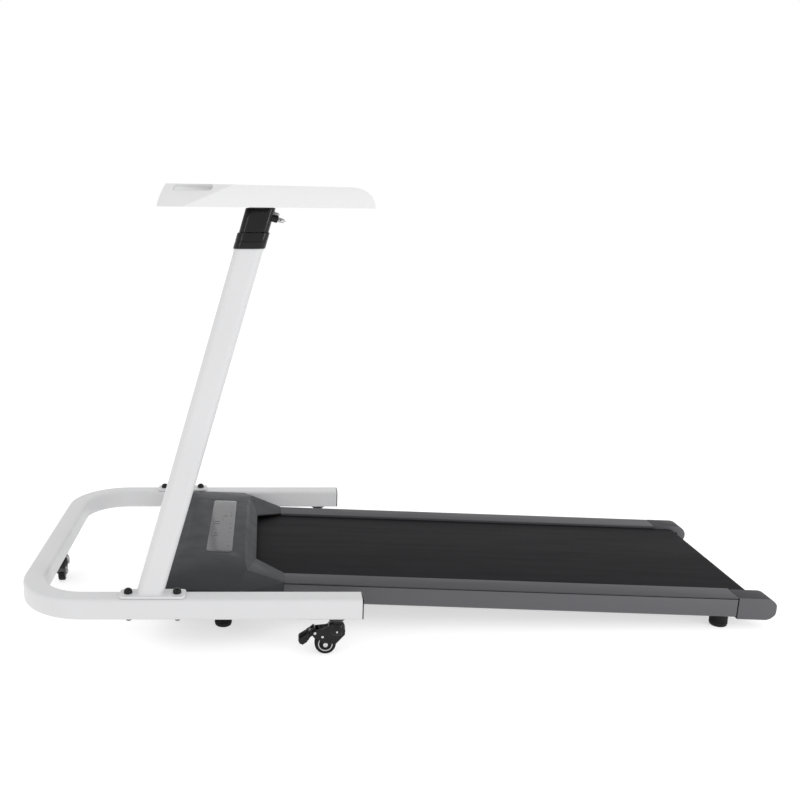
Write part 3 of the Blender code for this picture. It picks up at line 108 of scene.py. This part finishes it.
# ---------------------------------------------------------------- materials
def noise(tree, vector, scale, detail=3.0, roughness=0.5):
    node = tree.nodes.new("ShaderNodeTexNoise")
    node.inputs["Scale"].default_value = scale
    node.inputs["Detail"].default_value = detail
    node.inputs["Roughness"].default_value = roughness
    tree.links.new(vector, node.inputs["Vector"])
    return node.outputs["Fac"]


def spread(tree, value, low, high, source=(0.3, 0.7)):
    node = tree.nodes.new("ShaderNodeMapRange")
    node.inputs["From Min"].default_value = source[0]
    node.inputs["From Max"].default_value = source[1]
    node.inputs["To Min"].default_value = low
    node.inputs["To Max"].default_value = high
    tree.links.new(value, node.inputs["Value"])
    return node.outputs["Result"]


def blend_colours(tree, value, first, second):
    node = tree.nodes.new("ShaderNodeMix")
    node.data_type = "RGBA"
    for socket, colour in ((node.inputs[6], first), (node.inputs[7], second)):
        if isinstance(colour, bpy.types.NodeSocket):
            tree.links.new(colour, socket)
        else:
            socket.default_value = (*colour, 1.0)
    tree.links.new(value, node.inputs["Factor"])
    return node.outputs[2]


def shade(colour, factor):
    return tuple(min(1.0, channel * factor) for channel in colour)


def object_space(tree, stretch=(1, 1, 1), turn=(0, 0, 0)):
    place = tree.nodes.new("ShaderNodeTexCoord")
    mapping = tree.nodes.new("ShaderNodeMapping")
    mapping.inputs["Scale"].default_value = stretch
    mapping.inputs["Rotation"].default_value = turn
    tree.links.new(place.outputs["Object"], mapping.inputs["Vector"])
    return mapping.outputs["Vector"]


def raise_relief(tree, shader, height, distance):
    bump = tree.nodes.new("ShaderNodeBump")
    bump.inputs["Strength"].default_value = 1.0
    bump.inputs["Distance"].default_value = distance
    tree.links.new(height, bump.inputs["Height"])
    tree.links.new(bump.outputs["Normal"], shader.inputs["Normal"])


def surface(name, colour, roughness, metallic=0.0, mottling=0.04, mottle_scale=6.0, gloss_spread=0.06,
            grain=700.0, relief=0.00003, stretch=(1, 1, 1), coat=0.0, specular=0.5):
    """Moulded or coated surface: uneven colour and gloss over a fine grain."""
    material = bpy.data.materials.new(name)
    material.use_nodes = True
    tree = material.node_tree
    shader = tree.nodes["Principled BSDF"]
    shader.inputs["Metallic"].default_value = metallic
    shader.inputs["Coat Weight"].default_value = coat
    shader.inputs["Specular IOR Level"].default_value = specular
    space = object_space(tree, stretch)
    patches = noise(tree, space, mottle_scale, 4.0)
    fine = noise(tree, space, grain, 2.0)
    tree.links.new(blend_colours(tree, spread(tree, patches, 0.0, 1.0), shade(colour, 1 - mottling),
                                 shade(colour, 1 + mottling)), shader.inputs["Base Color"])
    tree.links.new(spread(tree, noise(tree, space, mottle_scale * 4, 5.0), roughness - gloss_spread,
                          roughness + gloss_spread), shader.inputs["Roughness"])
    raise_relief(tree, shader, fine, relief)
    return material


def belt_surface():
    """Woven-back PVC: a fine diamond emboss with slightly polished tracks along the belt."""
    material = surface("belt_pvc", (0.0125, 0.0125, 0.0140), 0.70, mottling=0.05, mottle_scale=9.0,
                       specular=0.08)
    tree = material.node_tree
    shader = tree.nodes["Principled BSDF"]
    heights = []
    for angle in (35, -35):
        wave = tree.nodes.new("ShaderNodeTexWave")
        wave.inputs["Scale"].default_value = 140.0
        wave.inputs["Distortion"].default_value = 0.3
        tree.links.new(object_space(tree, turn=(0, 0, math.radians(angle))), wave.inputs["Vector"])
        heights.append(wave.outputs["Fac"])
    crossing = tree.nodes.new("ShaderNodeMath")
    crossing.operation = "MULTIPLY"
    for height, socket in zip(heights, crossing.inputs):
        tree.links.new(height, socket)
    raise_relief(tree, shader, crossing.outputs["Value"], 0.00012)
    tracks = noise(tree, object_space(tree, (1.2, 16.0, 1.0)), 3.0, 4.0)
    tree.links.new(spread(tree, tracks, 0.66, 0.74), shader.inputs["Roughness"])
    return material


def wood_surface():
    """Waxed fibre board with a faint pressed grain."""
    material = surface("waxed_board", (0.120, 0.070, 0.040), 0.45, mottling=0.15, mottle_scale=30.0,
                       grain=1500.0)
    tree = material.node_tree
    shader = tree.nodes["Principled BSDF"]
    streaks = noise(tree, object_space(tree, (2.0, 60.0, 60.0)), 4.0, 6.0)
    tree.links.new(blend_colours(tree, spread(tree, streaks, 0.0, 1.0), (0.085, 0.046, 0.025),
                                 (0.170, 0.105, 0.062)), shader.inputs["Base Color"])
    return material


MATERIALS = {
    "white_paint": surface("white_powder_coat", (0.615, 0.615, 0.623), 0.40, mottling=0.012,
                           gloss_spread=0.05, grain=1400.0, relief=0.000018, coat=0.10, specular=0.35),
    "desk_plastic": surface("white_desk_plastic", (0.685, 0.685, 0.688), 0.42, mottling=0.010,
                            gloss_spread=0.05, grain=1000.0, relief=0.000030),
    "black_plastic": surface("black_nylon", (0.0040, 0.0040, 0.0044), 0.19, mottling=0.12, mottle_scale=40.0,
                             gloss_spread=0.03, grain=1300.0, relief=0.000008, specular=0.27),
    "hood_plastic": surface("hood_abs", (0.0325, 0.0338, 0.0375), 0.44, mottling=0.05, grain=900.0,
                            relief=0.000045, specular=0.12),
    "rail_grey": surface("rail_anodised_grey", (0.088, 0.087, 0.095), 0.42, mottling=0.03, mottle_scale=5.0,
                         grain=500.0, relief=0.000030, stretch=(0.15, 1.0, 1.0), specular=0.30),
    "display_grey": surface("display_acrylic", (0.050, 0.050, 0.056), 0.22, mottling=0.02, gloss_spread=0.03,
                            grain=300.0, relief=0.000004, coat=0.15),
    "belt_rubber": belt_surface(),
    "soft_rubber": surface("soft_rubber", (0.0065, 0.0065, 0.0062), 0.62, mottling=0.20, mottle_scale=60.0,
                           grain=1200.0, relief=0.000050, specular=0.20),
    "deck_wood": wood_surface(),
    "bare_steel": surface("turned_steel", (0.56, 0.56, 0.57), 0.28, metallic=1.0, mottling=0.05,
                          mottle_scale=60.0, gloss_spread=0.10, grain=1800.0, relief=0.000012,
                          stretch=(1.0, 0.08, 1.0)),
    "black_steel": surface("black_steel", (0.030, 0.030, 0.032), 0.46, metallic=0.3, mottling=0.15,
                           mottle_scale=30.0, gloss_spread=0.10, grain=900.0, relief=0.000040),
    "heat_sink": surface("cast_aluminium", (0.60, 0.60, 0.61), 0.42, metallic=1.0, mottling=0.06,
                         mottle_scale=80.0, gloss_spread=0.10, grain=1600.0, relief=0.000040),
}
# Cap tops: a coarser real grain, and a colour darker than the cap's sides that is painted shade on the upward
# faces.
CAP_TOP_GRAIN_AND_SHADE = surface("cap_top_grain_and_shade", (0.040, 0.040, 0.044), 0.55, mottling=0.06, grain=420.0, relief=0.000080,
                  specular=0.20)
# Foot rails: a darker copy of the rail grey, partly the strip's own tone and partly painted shade on its upward
# face.
FOOT_RAIL_TONE_AND_SHADE = surface("foot_rail_tone_and_shade", (0.064, 0.063, 0.069), 0.46, mottling=0.03, mottle_scale=5.0,
                    grain=420.0, relief=0.000060, stretch=(0.15, 1.0, 1.0), specular=0.14)
RING_GREY = surface("wheel_ring_grey", (0.420, 0.420, 0.425), 0.40, mottling=0.08, mottle_scale=80.0,
                    grain=1200.0)
PRINT = surface("display_print", (0.110, 0.110, 0.120), 0.30, mottling=0.03, grain=900.0, relief=0.000004)
BRASS = surface("contact_brass", (0.66, 0.55, 0.34), 0.25, metallic=1.0, mottling=0.06, mottle_scale=90.0,
                grain=1500.0, relief=0.000010)


# ---------------------------------------------------------------- meshes
def oval_arc(centre, radii, start, end, steps):
    angles = [math.radians(start + (end - start) * i / steps) for i in range(steps + 1)]
    return [(centre[0] + radii[0] * math.cos(a), centre[1] + radii[1] * math.sin(a)) for a in angles]


def rounded_rectangle(half_x, half_y, radius, steps=6):
    points = []
    for index, (sx, sy) in enumerate(((1, 1), (-1, 1), (-1, -1), (1, -1))):
        centre = (sx * (half_x - radius), sy * (half_y - radius))
        points += oval_arc(centre, (radius, radius), 90 * index, 90 * index + 90, steps)
    return points


def flat_oval(section, grow=0.0, steps=14):
    length, width = (side + 2 * grow for side in section)
    return rounded_rectangle(length / 2, width / 2, width / 2.002, steps)


def loft(bm, rings, closed=False):
    """Skin through rings of points; open ends are capped."""
    rows = [[bm.verts.new(point) for point in ring] for ring in rings]
    pairs = list(zip(rows, rows[1:])) + ([(rows[-1], rows[0])] if closed else [])
    for first, second in pairs:
        for i in range(len(first)):
            j = (i + 1) % len(first)
            bm.faces.new((first[i], first[j], second[j], second[i]))
    if not closed:
        bm.faces.new(rows[0])
        bm.faces.new(rows[-1])
    return rows


def lathe(bm, profile, place, segments=40):
    """Turned solid about place's Z axis; the profile of (radius, height) starts and ends on the axis."""
    def spun(radius, height):
        if radius == 0:
            return [bm.verts.new(place @ Vector((0, 0, height)))]
        return [bm.verts.new(place @ Vector((radius * math.cos(a), radius * math.sin(a), height)))
                for a in (2 * math.pi * i / segments for i in range(segments))]
    rows = [spun(*point) for point in profile]
    for first, second in zip(rows, rows[1:]):
        for i in range(segments):
            j = (i + 1) % segments
            if len(first) == 1:
                bm.faces.new((first[0], second[j], second[i]))
            elif len(second) == 1:
                bm.faces.new((first[i], first[j], second[0]))
            else:
                bm.faces.new((first[i], first[j], second[j], second[i]))


def extrude(bm, outline, low, high, place):
    """Solid between two heights along place's Z axis."""
    loft(bm, [[place @ Vector((x, y, z)) for x, y in outline] for z in (low, high)])


def facing(point, axis, side=None):
    """Frame at a point with Z along axis, and Y as near to side as it gets."""
    z = Vector(axis).normalized()
    side = Vector(side) if side else (Vector((0, 0, 1)) if abs(z.z) < 0.9 else Vector((1, 0, 0)))
    x = side.cross(z).normalized()
    place = Matrix((x, z.cross(x), z)).transposed().to_4x4()
    place.translation = point
    return place


def piece(name, bm, material, body, bevel=0.0, segments=2, crease=32, nodes=()):
    """Turns a mesh into a finished piece: outward faces, rounded edges, smooth shading."""
    bmesh.ops.recalc_face_normals(bm, faces=bm.faces)
    mesh = bpy.data.meshes.new(name)
    bm.to_mesh(mesh)
    bm.free()
    item = bpy.data.objects.new(name, mesh)
    bpy.context.scene.collection.objects.link(item)
    if bevel:
        edge = item.modifiers.new("edge", "BEVEL")
        edge.width = bevel
        edge.segments = segments
        edge.limit_method = "ANGLE"
        edge.angle_limit = math.radians(crease)
        edge.use_clamp_overlap = True
        shape = item.evaluated_get(bpy.context.evaluated_depsgraph_get())
        finished_mesh = bpy.data.meshes.new_from_object(shape)
        item.modifiers.clear()
        item.data = finished_mesh
        finished_mesh.name = name
    item.data.shade_smooth()
    item.data.set_sharp_from_angle(angle=math.radians(crease))
    item.data.materials.clear()
    item.data.materials.append(material)
    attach(item, body)
    if nodes:
        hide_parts(*nodes)
    return item


def welded(node):
    """A CAD node's mesh as a bmesh, welded, with its flat faces made whole."""
    bm = bmesh.new()
    bm.from_mesh(NODES[node].data)
    bmesh.ops.remove_doubles(bm, verts=bm.verts, dist=0.000002)
    bmesh.ops.dissolve_limit(bm, angle_limit=math.radians(0.4), verts=bm.verts, edges=bm.edges)
    return bm


def finish_node(node, bevel=0.0008, segments=2, crease=32):
    """The CAD shape itself with its edges broken as a moulded or pressed part's are."""
    # Foot rails take the darker rail grey, which is partly painted shade.
    material = FOOT_RAIL_TONE_AND_SHADE if node.startswith("foot_rail") else MATERIALS[SLOT_OF[node]]
    return piece(f"{node}_finish", welded(node), material, BODY_OF[node], bevel, segments, crease, [node])


def grain_and_shade_top(item):
    """Gives a moulding's upward faces the grained finish, in a darker colour that is painted shade for weaker
    light from above.
    """
    item.data.materials.append(CAP_TOP_GRAIN_AND_SHADE)
    for face in item.data.polygons:
        if face.normal.z > SHADED_GRAIN_FROM:
            face.material_index = 1


# ---------------------------------------------------------------- base frame
def rail_section():
    low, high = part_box("rail_plug_left")
    return (high.y - low.y) / 2, (high.z - low.z) / 2, (low.y + high.y) / 2, (low.z + high.z) / 2


def make_base_frame():
    half_width, half_height, rail_y, middle_z = rail_section()
    low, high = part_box("base_frame")
    front = low.x + half_width
    centre_x, centre_y = front + BEND_RADIUS, abs(rail_y) - BEND_RADIUS
    path = [(Vector((high.x, -abs(rail_y), middle_z)), Vector((0, -1, 0)))]
    for sign, turn in ((-1, (270, 180)), (1, (180, 90))):
        for x, y in oval_arc((0, 0), (1, 1), *turn, 20):
            path.append((Vector((centre_x + BEND_RADIUS * x, sign * centre_y + BEND_RADIUS * y, middle_z)),
                         Vector((x, y, 0))))
    path.append((Vector((high.x, abs(rail_y), middle_z)), Vector((0, 1, 0))))

    def rings(inset):
        outline = rounded_rectangle(half_width - inset, half_height - inset, TUBE_CORNER - inset, 5)
        return [[point + outwards * a + Vector((0, 0, b)) for a, b in outline] for point, outwards in path]
    bm = bmesh.new()
    pipe(bm, rings(0.0), rings(TUBE_WALL))
    piece("base_frame_tube", bm, MATERIALS["white_paint"], "desk_frame", nodes=["base_frame"])


def pipe(bm, outer, inner):
    """Hollow section: outside, both end faces and inside as one closed skin."""
    loft(bm, outer + inner[::-1], closed=True)


# ---------------------------------------------------------------- posts and desk supports
def post_line(height, y):
    """Point on a post's centre line."""
    seat = joint_point("wing_screw_left_turn")
    axis = joint_axis("wing_screw_left_turn")
    base = seat - axis * SCREW_REACH
    return Vector((base.x + (height - base.z) * LIFT.x / LIFT.z, y, height))


def level_ring(section, grow, height, y):
    centre = post_line(height, y)
    return [centre + Vector((a, b, 0)) for a, b in flat_oval(section, grow)]


def make_post(side, y):
    low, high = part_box(f"post_{side}")
    plate_top = low.z + PLATE[2]
    bead = [(0.0032, 0.0), (0.0017, 0.0006), (0.0006, 0.0019), (0.0, 0.0038)]
    outer = [level_ring(POST_SECTION, 0.0, low.z + STEEL_FOOT, y)]
    outer += [level_ring(POST_SECTION, grow, plate_top - 0.0002 + rise, y) for grow, rise in bead]
    outer += [level_ring(POST_SECTION, 0.0, z, y)
              for z in (plate_top + (high.z - plate_top) * i / 12 for i in range(1, 13))]
    inner = [level_ring(POST_SECTION, -POST_WALL, z, y) for z in (low.z + STEEL_FOOT, high.z)]
    bm = bmesh.new()
    pipe(bm, outer, inner)
    middle = (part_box(f"base_bolt_{side}_1")[0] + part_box(f"base_bolt_{side}_2")[1]) / 2
    outline = rounded_rectangle(PLATE[0] / 2, PLATE[1] / 2, PLATE_CORNER, 5)
    edge = 0.0008
    small = rounded_rectangle(PLATE[0] / 2 - edge, PLATE[1] / 2 - edge, PLATE_CORNER - edge, 5)
    loft(bm, [[Vector((middle.x + a, y + b, z)) for a, b in shape]
              for shape, z in ((small, low.z), (outline, low.z + edge), (outline, plate_top - edge),
                               (small, plate_top))])
    piece(f"post_{side}_tube", bm, MATERIALS["white_paint"], "desk_frame", nodes=[f"post_{side}"])


def moulded_band(name, node, steps, bore, y, extra=None):
    """Oval moulding round the post: steps of (height above its foot, growth over the post section)."""
    low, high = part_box(node)
    span = high.z - low.z
    outer = [level_ring(POST_SECTION, grow, low.z + (rise if rise >= 0 else span + rise), y)
             for rise, grow in steps]
    inner = [level_ring(section, grow, z, y) for section, grow, z in bore]
    bm = bmesh.new()
    pipe(bm, outer, inner)
    if extra:
        extra(bm)
    piece(name, bm, MATERIALS["black_plastic"], "desk_frame", nodes=[node])


def make_collar(side, y):
    grow = 0.0026
    post_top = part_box(f"post_{side}")[1].z
    groove = 0.0130
    low, high = (corner.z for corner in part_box(f"post_collar_{side}"))
    steps = [(0.0, grow - 0.0008), (0.0003, grow - 0.0002), (0.0010, grow), (groove, grow),
             (groove + 0.0004, grow - 0.0009), (groove + 0.0012, grow - 0.0009), (groove + 0.0016, grow),
             (-0.0022, grow), (-0.0008, grow - 0.0006), (high - low, grow - 0.0018)]
    bore = [(POST_SECTION, GAP, low), (POST_SECTION, GAP, post_top + GAP),
            (LEG_SECTION, 0.0006, post_top + GAP), (LEG_SECTION, 0.0006, high)]
    moulded_band(f"collar_{side}", f"post_collar_{side}", steps, bore, y)


def make_sleeve(side, y):
    low, high = (corner.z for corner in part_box(f"clamp_sleeve_{side}"))
    steps = [(0.0, -0.0006), (0.0006, 0.0), (-0.0012, 0.0), (-0.0004, -0.0003), (high - low, -0.0012)]
    bore = [(LEG_SECTION, 0.0006, low), (LEG_SECTION, 0.0006, high)]
    seat = joint_point(f"wing_screw_{side}_turn")
    axis = joint_axis(f"wing_screw_{side}_turn")

    def boss(bm):
        lathe(bm, [(0.0, -0.0005), (0.0038, -0.0005), (0.0062, -0.0008), (0.0070, -0.0016),
                   (0.0074, -0.0030), (0.0074, -0.0110), (0.0078, -0.0125),
                   (0.0078, -0.0200), (0.0, -0.0200)],
              facing(seat, axis), 32)
    moulded_band(f"clamp_sleeve_{side}_moulding", f"clamp_sleeve_{side}", steps, bore, y, boss)


def make_wing_screw(side):
    node = f"wing_screw_{side}"
    seat = joint_point(f"{node}_turn")
    place = facing(seat, joint_axis(f"{node}_turn"), (0, 1, 0))
    bm = bmesh.new()
    lathe(bm, [(0.0, 0.0122), (0.0016, 0.0121), (0.0030, 0.0114), (0.0038, 0.0100), (0.0043, 0.0070),
               (0.0046, 0.0020), (0.0046, 0.0004), (0.0042, 0.0), (0.0027, 0.0), (0.0027, -0.0125),
               (0.0020, -0.0132), (0.0, -0.0132)], place, 32)
    wing = [(0.0, 0.0006), (0.0036, 0.0010), (0.0072, 0.0034), (0.0104, 0.0072), (0.0118, 0.0108),
            (0.0117, 0.0134), (0.0100, 0.0146), (0.0078, 0.0134), (0.0052, 0.0102), (0.0, 0.0082)]
    for sign in (1, -1):
        blade = facing(seat, place.col[0].xyz, joint_axis(f"{node}_turn"))
        outline = [(sign * y, z) for y, z in wing]
        extrude(bm, [(-a, b) for a, b in outline], -0.0011, 0.0011, blade)
    piece(f"{node}_casting", bm, MATERIALS["bare_steel"], BODY_OF[node], 0.0005, 2, nodes=[node])


def make_base_bolt(side, index):
    node = f"base_bolt_{side}_{index}"
    low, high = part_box(node)
    x, y = (low.x + high.x) / 2, (low.y + high.y) / 2
    top = high.z
    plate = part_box(f"post_{side}")[0].z + PLATE[2]
    rail_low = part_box("base_frame")[0].z
    dome = [(0.0090 * math.sin(a), top - 0.0072 + 0.0072 * math.cos(a))
            for a in (math.radians(step) for step in range(15, 91, 15))]
    profile = [(0.0, top)] + dome
    profile += [(0.0090, plate + 0.0010), (0.0084, plate + GAP), (0.0040, plate + GAP),
                (0.0040, rail_low - GAP), (0.0070, rail_low - GAP), (0.0075, rail_low - 0.0010),
                (0.0073, rail_low - 0.0062), (0.0062, rail_low - 0.0080), (0.0034, low.z + 0.0002),
                (0.0, low.z)]
    bm = bmesh.new()
    lathe(bm, profile, Matrix.Translation((x, y, 0)), 32)
    piece(f"{node}_cap", bm, MATERIALS["black_plastic"], "desk_frame", nodes=[node])


# ---------------------------------------------------------------- casters
def caster_frame(name):
    """Frame at the axle with Z along it and Y up."""
    roll = JOINTS[f"caster_{name}_roll"]
    return facing(Vector(roll["pos_m"]), roll["axis"], (0, 0, 1))


def make_caster_wheel(name):
    place = caster_frame(name)
    bm = bmesh.new()
    half = WHEEL_HALF
    profile = [(0.0, half - 0.0016), (0.0128, half - 0.0016), (0.0131, half - 0.0004),
               (0.0156, half - 0.0004), (0.0159, half - 0.0012), (0.0168, half - 0.0012),
               (0.0171, half), (0.0196, half - 0.0002)]
    profile += oval_arc((0.0196, half - 0.0034), (0.0031, 0.0032), 80, 0, 5)
    profile += [(r, -z) for r, z in reversed(profile)]
    lathe(bm, profile, place, 56)
    piece(f"caster_wheel_{name}_tread", bm, MATERIALS["soft_rubber"], f"caster_{name}_wheel",
          nodes=[f"caster_wheel_{name}"])
    ring = bmesh.new()
    for sign in (1, -1):
        face = place @ Matrix.Diagonal((1, 1, sign, 1))
        rows = [(0.0132, half - 0.0014), (0.0132, half + 0.0002), (0.0135, half + 0.0005),
                (0.0153, half + 0.0005), (0.0156, half + 0.0002), (0.0156, half - 0.0014)]
        loft(ring, [[face @ Vector((r * math.cos(a), r * math.sin(a), z)) for r, z in rows]
                    for a in (2 * math.pi * i / 56 for i in range(56))], closed=True)
    piece(f"wheel_ring_{name}", ring, RING_GREY, f"caster_{name}_wheel")


def rivet(bm, place, height, radius, rise=0.0016):
    """Domed head on a face that stands height above place."""
    lathe(bm, [(0.0, height + rise), (radius * 0.55, height + rise * 0.85),
               (radius * 0.85, height + rise * 0.5), (radius, height + 0.0002),
               (radius, height - 0.001), (0.0, height - 0.001)], place, 28)


def make_caster_fittings(name):
    """Axle nuts, pedal rivets, cheek rivets and the screws on the swivel's head."""
    yoke = f"caster_{name}_yoke"
    roll = joint_axis(f"caster_{name}_roll")
    axle = joint_point(f"caster_{name}_roll")
    swivel = joint_point(f"caster_{name}_swivel")
    back = Vector((axle.x - swivel.x, axle.y - swivel.y, 0)).normalized()
    ground = Vector((swivel.x, swivel.y, 0))
    bm = bmesh.new()
    for sign in (1, -1):
        flip = Matrix.Diagonal((1, 1, sign, 1))
        places = ((axle, CHEEK_Y, 0.0050, 0.0024),
                  (joint_point(f"caster_{name}_brake"), CHEEK_Y, 0.0030, 0.0014),
                  (ground + back * 0.0300 + UPWARDS * 0.0410, CHEEK_Y, 0.0026, 0.0012),
                  (ground + UPWARDS * 0.0545, HEAD_RADIUS, 0.0020, 0.0010))
        for point, height, radius, rise in places:
            rivet(bm, facing(point, roll, (0, 0, 1)) @ flip, height, radius, rise)
    piece(f"caster_rivets_{name}", bm, MATERIALS["bare_steel"], yoke)


# ---------------------------------------------------------------- deck
def make_running_belt():
    low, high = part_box("running_belt")
    half = (high.y - low.y) / 2
    middle = BELT_INNER + BELT_THICKNESS / 2
    loop = [(u, w, nu, nw) for centre, turn in ((FRONT_ROLLER_U, (270, 90)), (REAR_ROLLER_U, (90, -90)))
            for (u, w), (nu, nw) in zip(oval_arc((centre, ROLLER_W), (middle, middle), *turn, 24),
                                        oval_arc((0, 0), (1, 1), *turn, 24))]
    section = rounded_rectangle(half, BELT_THICKNESS / 2, BELT_THICKNESS / 2.5, 3)
    bm = bmesh.new()
    loft(bm, [[DECK @ Vector((u + nu * b, a, w + nw * b)) for a, b in section] for u, w, nu, nw in loop],
         closed=True)
    piece("running_belt_loop", bm, MATERIALS["belt_rubber"], "treadmill", nodes=["running_belt"])


def make_foot(end, side):
    node = f"foot_{end}_{side}"
    low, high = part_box(node)
    radius = (high.x - low.x) / 2
    profile = [(0.0, high.z), (radius - 0.0012, high.z), (radius - 0.0003, high.z - 0.0005),
               (radius, high.z - 0.0016)]
    for z in (0.0180, 0.0130):
        profile += [(radius, z), (radius - 0.0010, z - 0.0008), (radius - 0.0010, z - 0.0018),
                    (radius, z - 0.0026)]
    profile += [(radius, 0.0060), (radius - 0.0012, 0.0020), (radius - 0.0030, 0.0004),
                (radius - 0.0045, 0.0), (0.0, 0.0)]
    bm = bmesh.new()
    lathe(bm, profile, Matrix.Translation(((low.x + high.x) / 2, (low.y + high.y) / 2, 0)), 48)
    piece(f"{node}_pad", bm, MATERIALS["soft_rubber"], "treadmill", nodes=[node])


def crown(v):
    half_width = (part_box("motor_hood")[1].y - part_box("motor_hood")[0].y) / 2
    return CROWN_TOP - CROWN_DROP * (abs(v) / half_width) ** CROWN_POWER


def make_display_marks():
    """Generic printed marks: dashes along the rear edge and short ticks near the front."""
    top = 0.0008
    bm = bmesh.new()

    def dash(u, v, length_u, length_v):
        place = DECK @ Matrix.Translation((u, v, crown(v) + top))
        corner = min(length_u, length_v) / 2.2
        extrude(bm, rounded_rectangle(length_u / 2, length_v / 2, corner, 3), -0.0003, 0.00015, place)
    for index, v in enumerate((-0.142, -0.112, -0.052, -0.020, 0.012, 0.070, 0.100, 0.130)):
        dash(DISPLAY_U + 0.0200, v, 0.0030 if index % 3 else 0.0045, 0.0210)
    for v in (-0.085, -0.068, 0.000, 0.016):
        dash(DISPLAY_U - 0.0150, v, 0.0160, 0.0022)
    dash(DISPLAY_U - 0.0010, 0.045, 0.0022, 0.0300)
    dash(DISPLAY_U + 0.0050, 0.060, 0.0120, 0.0022)
    piece("display_marks", bm, PRINT, "treadmill")


def make_inlet_pins():
    """Three contact blades in the power inlet."""
    low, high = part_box("power_inlet")
    middle = (low + high) / 2
    bm = bmesh.new()
    for dy, dz in ((-0.0060, -0.0020), (0.0060, -0.0020), (0.0, 0.0025)):
        place = facing(Vector((low.x + 0.0035, middle.y + dy, middle.z + dz)), DECK_ALONG, (0, 0, 1))
        extrude(bm, rounded_rectangle(0.0010, 0.0022, 0.0005, 3), 0.0, 0.0100, place)
    piece("inlet_blades", bm, BRASS, "treadmill")


# ---------------------------------------------------------------- build
rail_y = rail_section()[2]
make_base_frame()
for side, sign in SIDES.items():
    y = sign * abs(rail_y)
    make_post(side, y)
    make_collar(side, y)
    make_sleeve(side, y)
    make_wing_screw(side)
    for index in (1, 2):
        make_base_bolt(side, index)
    for end in ("front", "rear"):
        make_foot(end, side)
for name in CASTERS:
    make_caster_wheel(name)
    make_caster_fittings(name)
make_running_belt()
make_display_marks()
make_inlet_pins()

EDGES = {                          # edge rounding where it isn't the usual one
    "desk_top": (0.0016, 3), "motor_hood": (0.0016, 3), "end_cap": (0.0016, 3), "side_rail": (0.0006, 2),
    "foot_rail": (0.0005, 2), "chassis_frame": (0.0004, 1), "display_panel": (0.0004, 2),
    "caster_fork": (0.0008, 2), "caster_brake": (0.0012, 3), "deck_board": (0.0006, 1),
}
for node in sorted(NODES):
    if not NODES[node].hide_render:
        family = next((key for key in EDGES if node.startswith(key)), None)
        finished = finish_node(node, *(EDGES[family] if family else (0.0006, 2)))
        # End caps' upward faces get the grained top with its painted shade.
        if family == "end_cap":
            grain_and_shade_top(finished)


# ---------------------------------------------------------------- studio
def make_floor():
    bm = bmesh.new()
    bmesh.ops.create_grid(bm, x_segments=1, y_segments=1, size=15)
    mesh = bpy.data.meshes.new("studio_floor")
    bm.to_mesh(mesh)
    bm.free()
    floor = bpy.data.objects.new("studio_floor", mesh)
    floor.location.z = -FLOOR_DROP
    bpy.context.scene.collection.objects.link(floor)
    paper = surface("studio_paper", (0.56, 0.56, 0.56), 0.9, mottling=0.003, relief=0.0, specular=0.0)
    glow = paper.node_tree.nodes["Principled BSDF"]
    glow.inputs["Emission Color"].default_value = (1.0, 1.0, 1.0, 1.0)
    glow.inputs["Emission Strength"].default_value = FLOOR_GLOW
    mesh.materials.append(paper)


def make_sky():
    """White round the horizon and dimmer overhead, as in a white cove under a black ceiling."""
    world = bpy.data.worlds.new("studio")
    bpy.context.scene.world = world
    world.use_nodes = True
    tree = world.node_tree
    place = tree.nodes.new("ShaderNodeTexCoord")
    height = tree.nodes.new("ShaderNodeSeparateXYZ")
    tree.links.new(place.outputs["Generated"], height.inputs["Vector"])
    ramp = tree.nodes.new("ShaderNodeMapRange")
    ramp.interpolation_type = "SMOOTHSTEP"
    for socket, value in zip(("From Min", "From Max", "To Min", "To Max"), (0.15, 0.60, 1.0, SKY_TOP)):
        ramp.inputs[socket].default_value = value
    tree.links.new(height.outputs["Z"], ramp.inputs["Value"])
    tree.links.new(ramp.outputs["Result"], tree.nodes["Background"].inputs["Strength"])
    tree.nodes["Background"].inputs["Color"].default_value = (1.0, 1.0, 1.0, 1.0)


def softbox(name, place, target, size, power):
    light = bpy.data.lights.new(name, "AREA")
    light.shape = "RECTANGLE"
    light.size, light.size_y = size
    light.energy = power
    lamp = bpy.data.objects.new(name, light)
    lamp.location = place
    lamp.rotation_euler = (Vector(target) - Vector(place)).to_track_quat("-Z", "Y").to_euler()
    bpy.context.scene.collection.objects.link(lamp)


make_floor()
make_sky()
softbox("front_left", (-1.9, -2.0, 1.5), (-0.4, -0.3, 0.8), (0.17, 1.6), 6.5)
softbox("front_right", (2.1, -1.7, 0.9), (0.7, -0.2, 0.1), (0.24, 1.5), 16)
bpy.context.scene.view_settings.view_transform = "Standard"

camera_data = bpy.data.cameras.new("camera")
camera_data.sensor_width = 36.0
camera_data.lens = LENS
camera_data.shift_x = LENS_SHIFT
camera = bpy.data.objects.new("camera", camera_data)
camera.location = CAMERA_PLACE
camera.rotation_euler = (CAMERA_TILT, 0.0, 0.0)
bpy.context.scene.collection.objects.link(camera)
bpy.context.scene.camera = camera
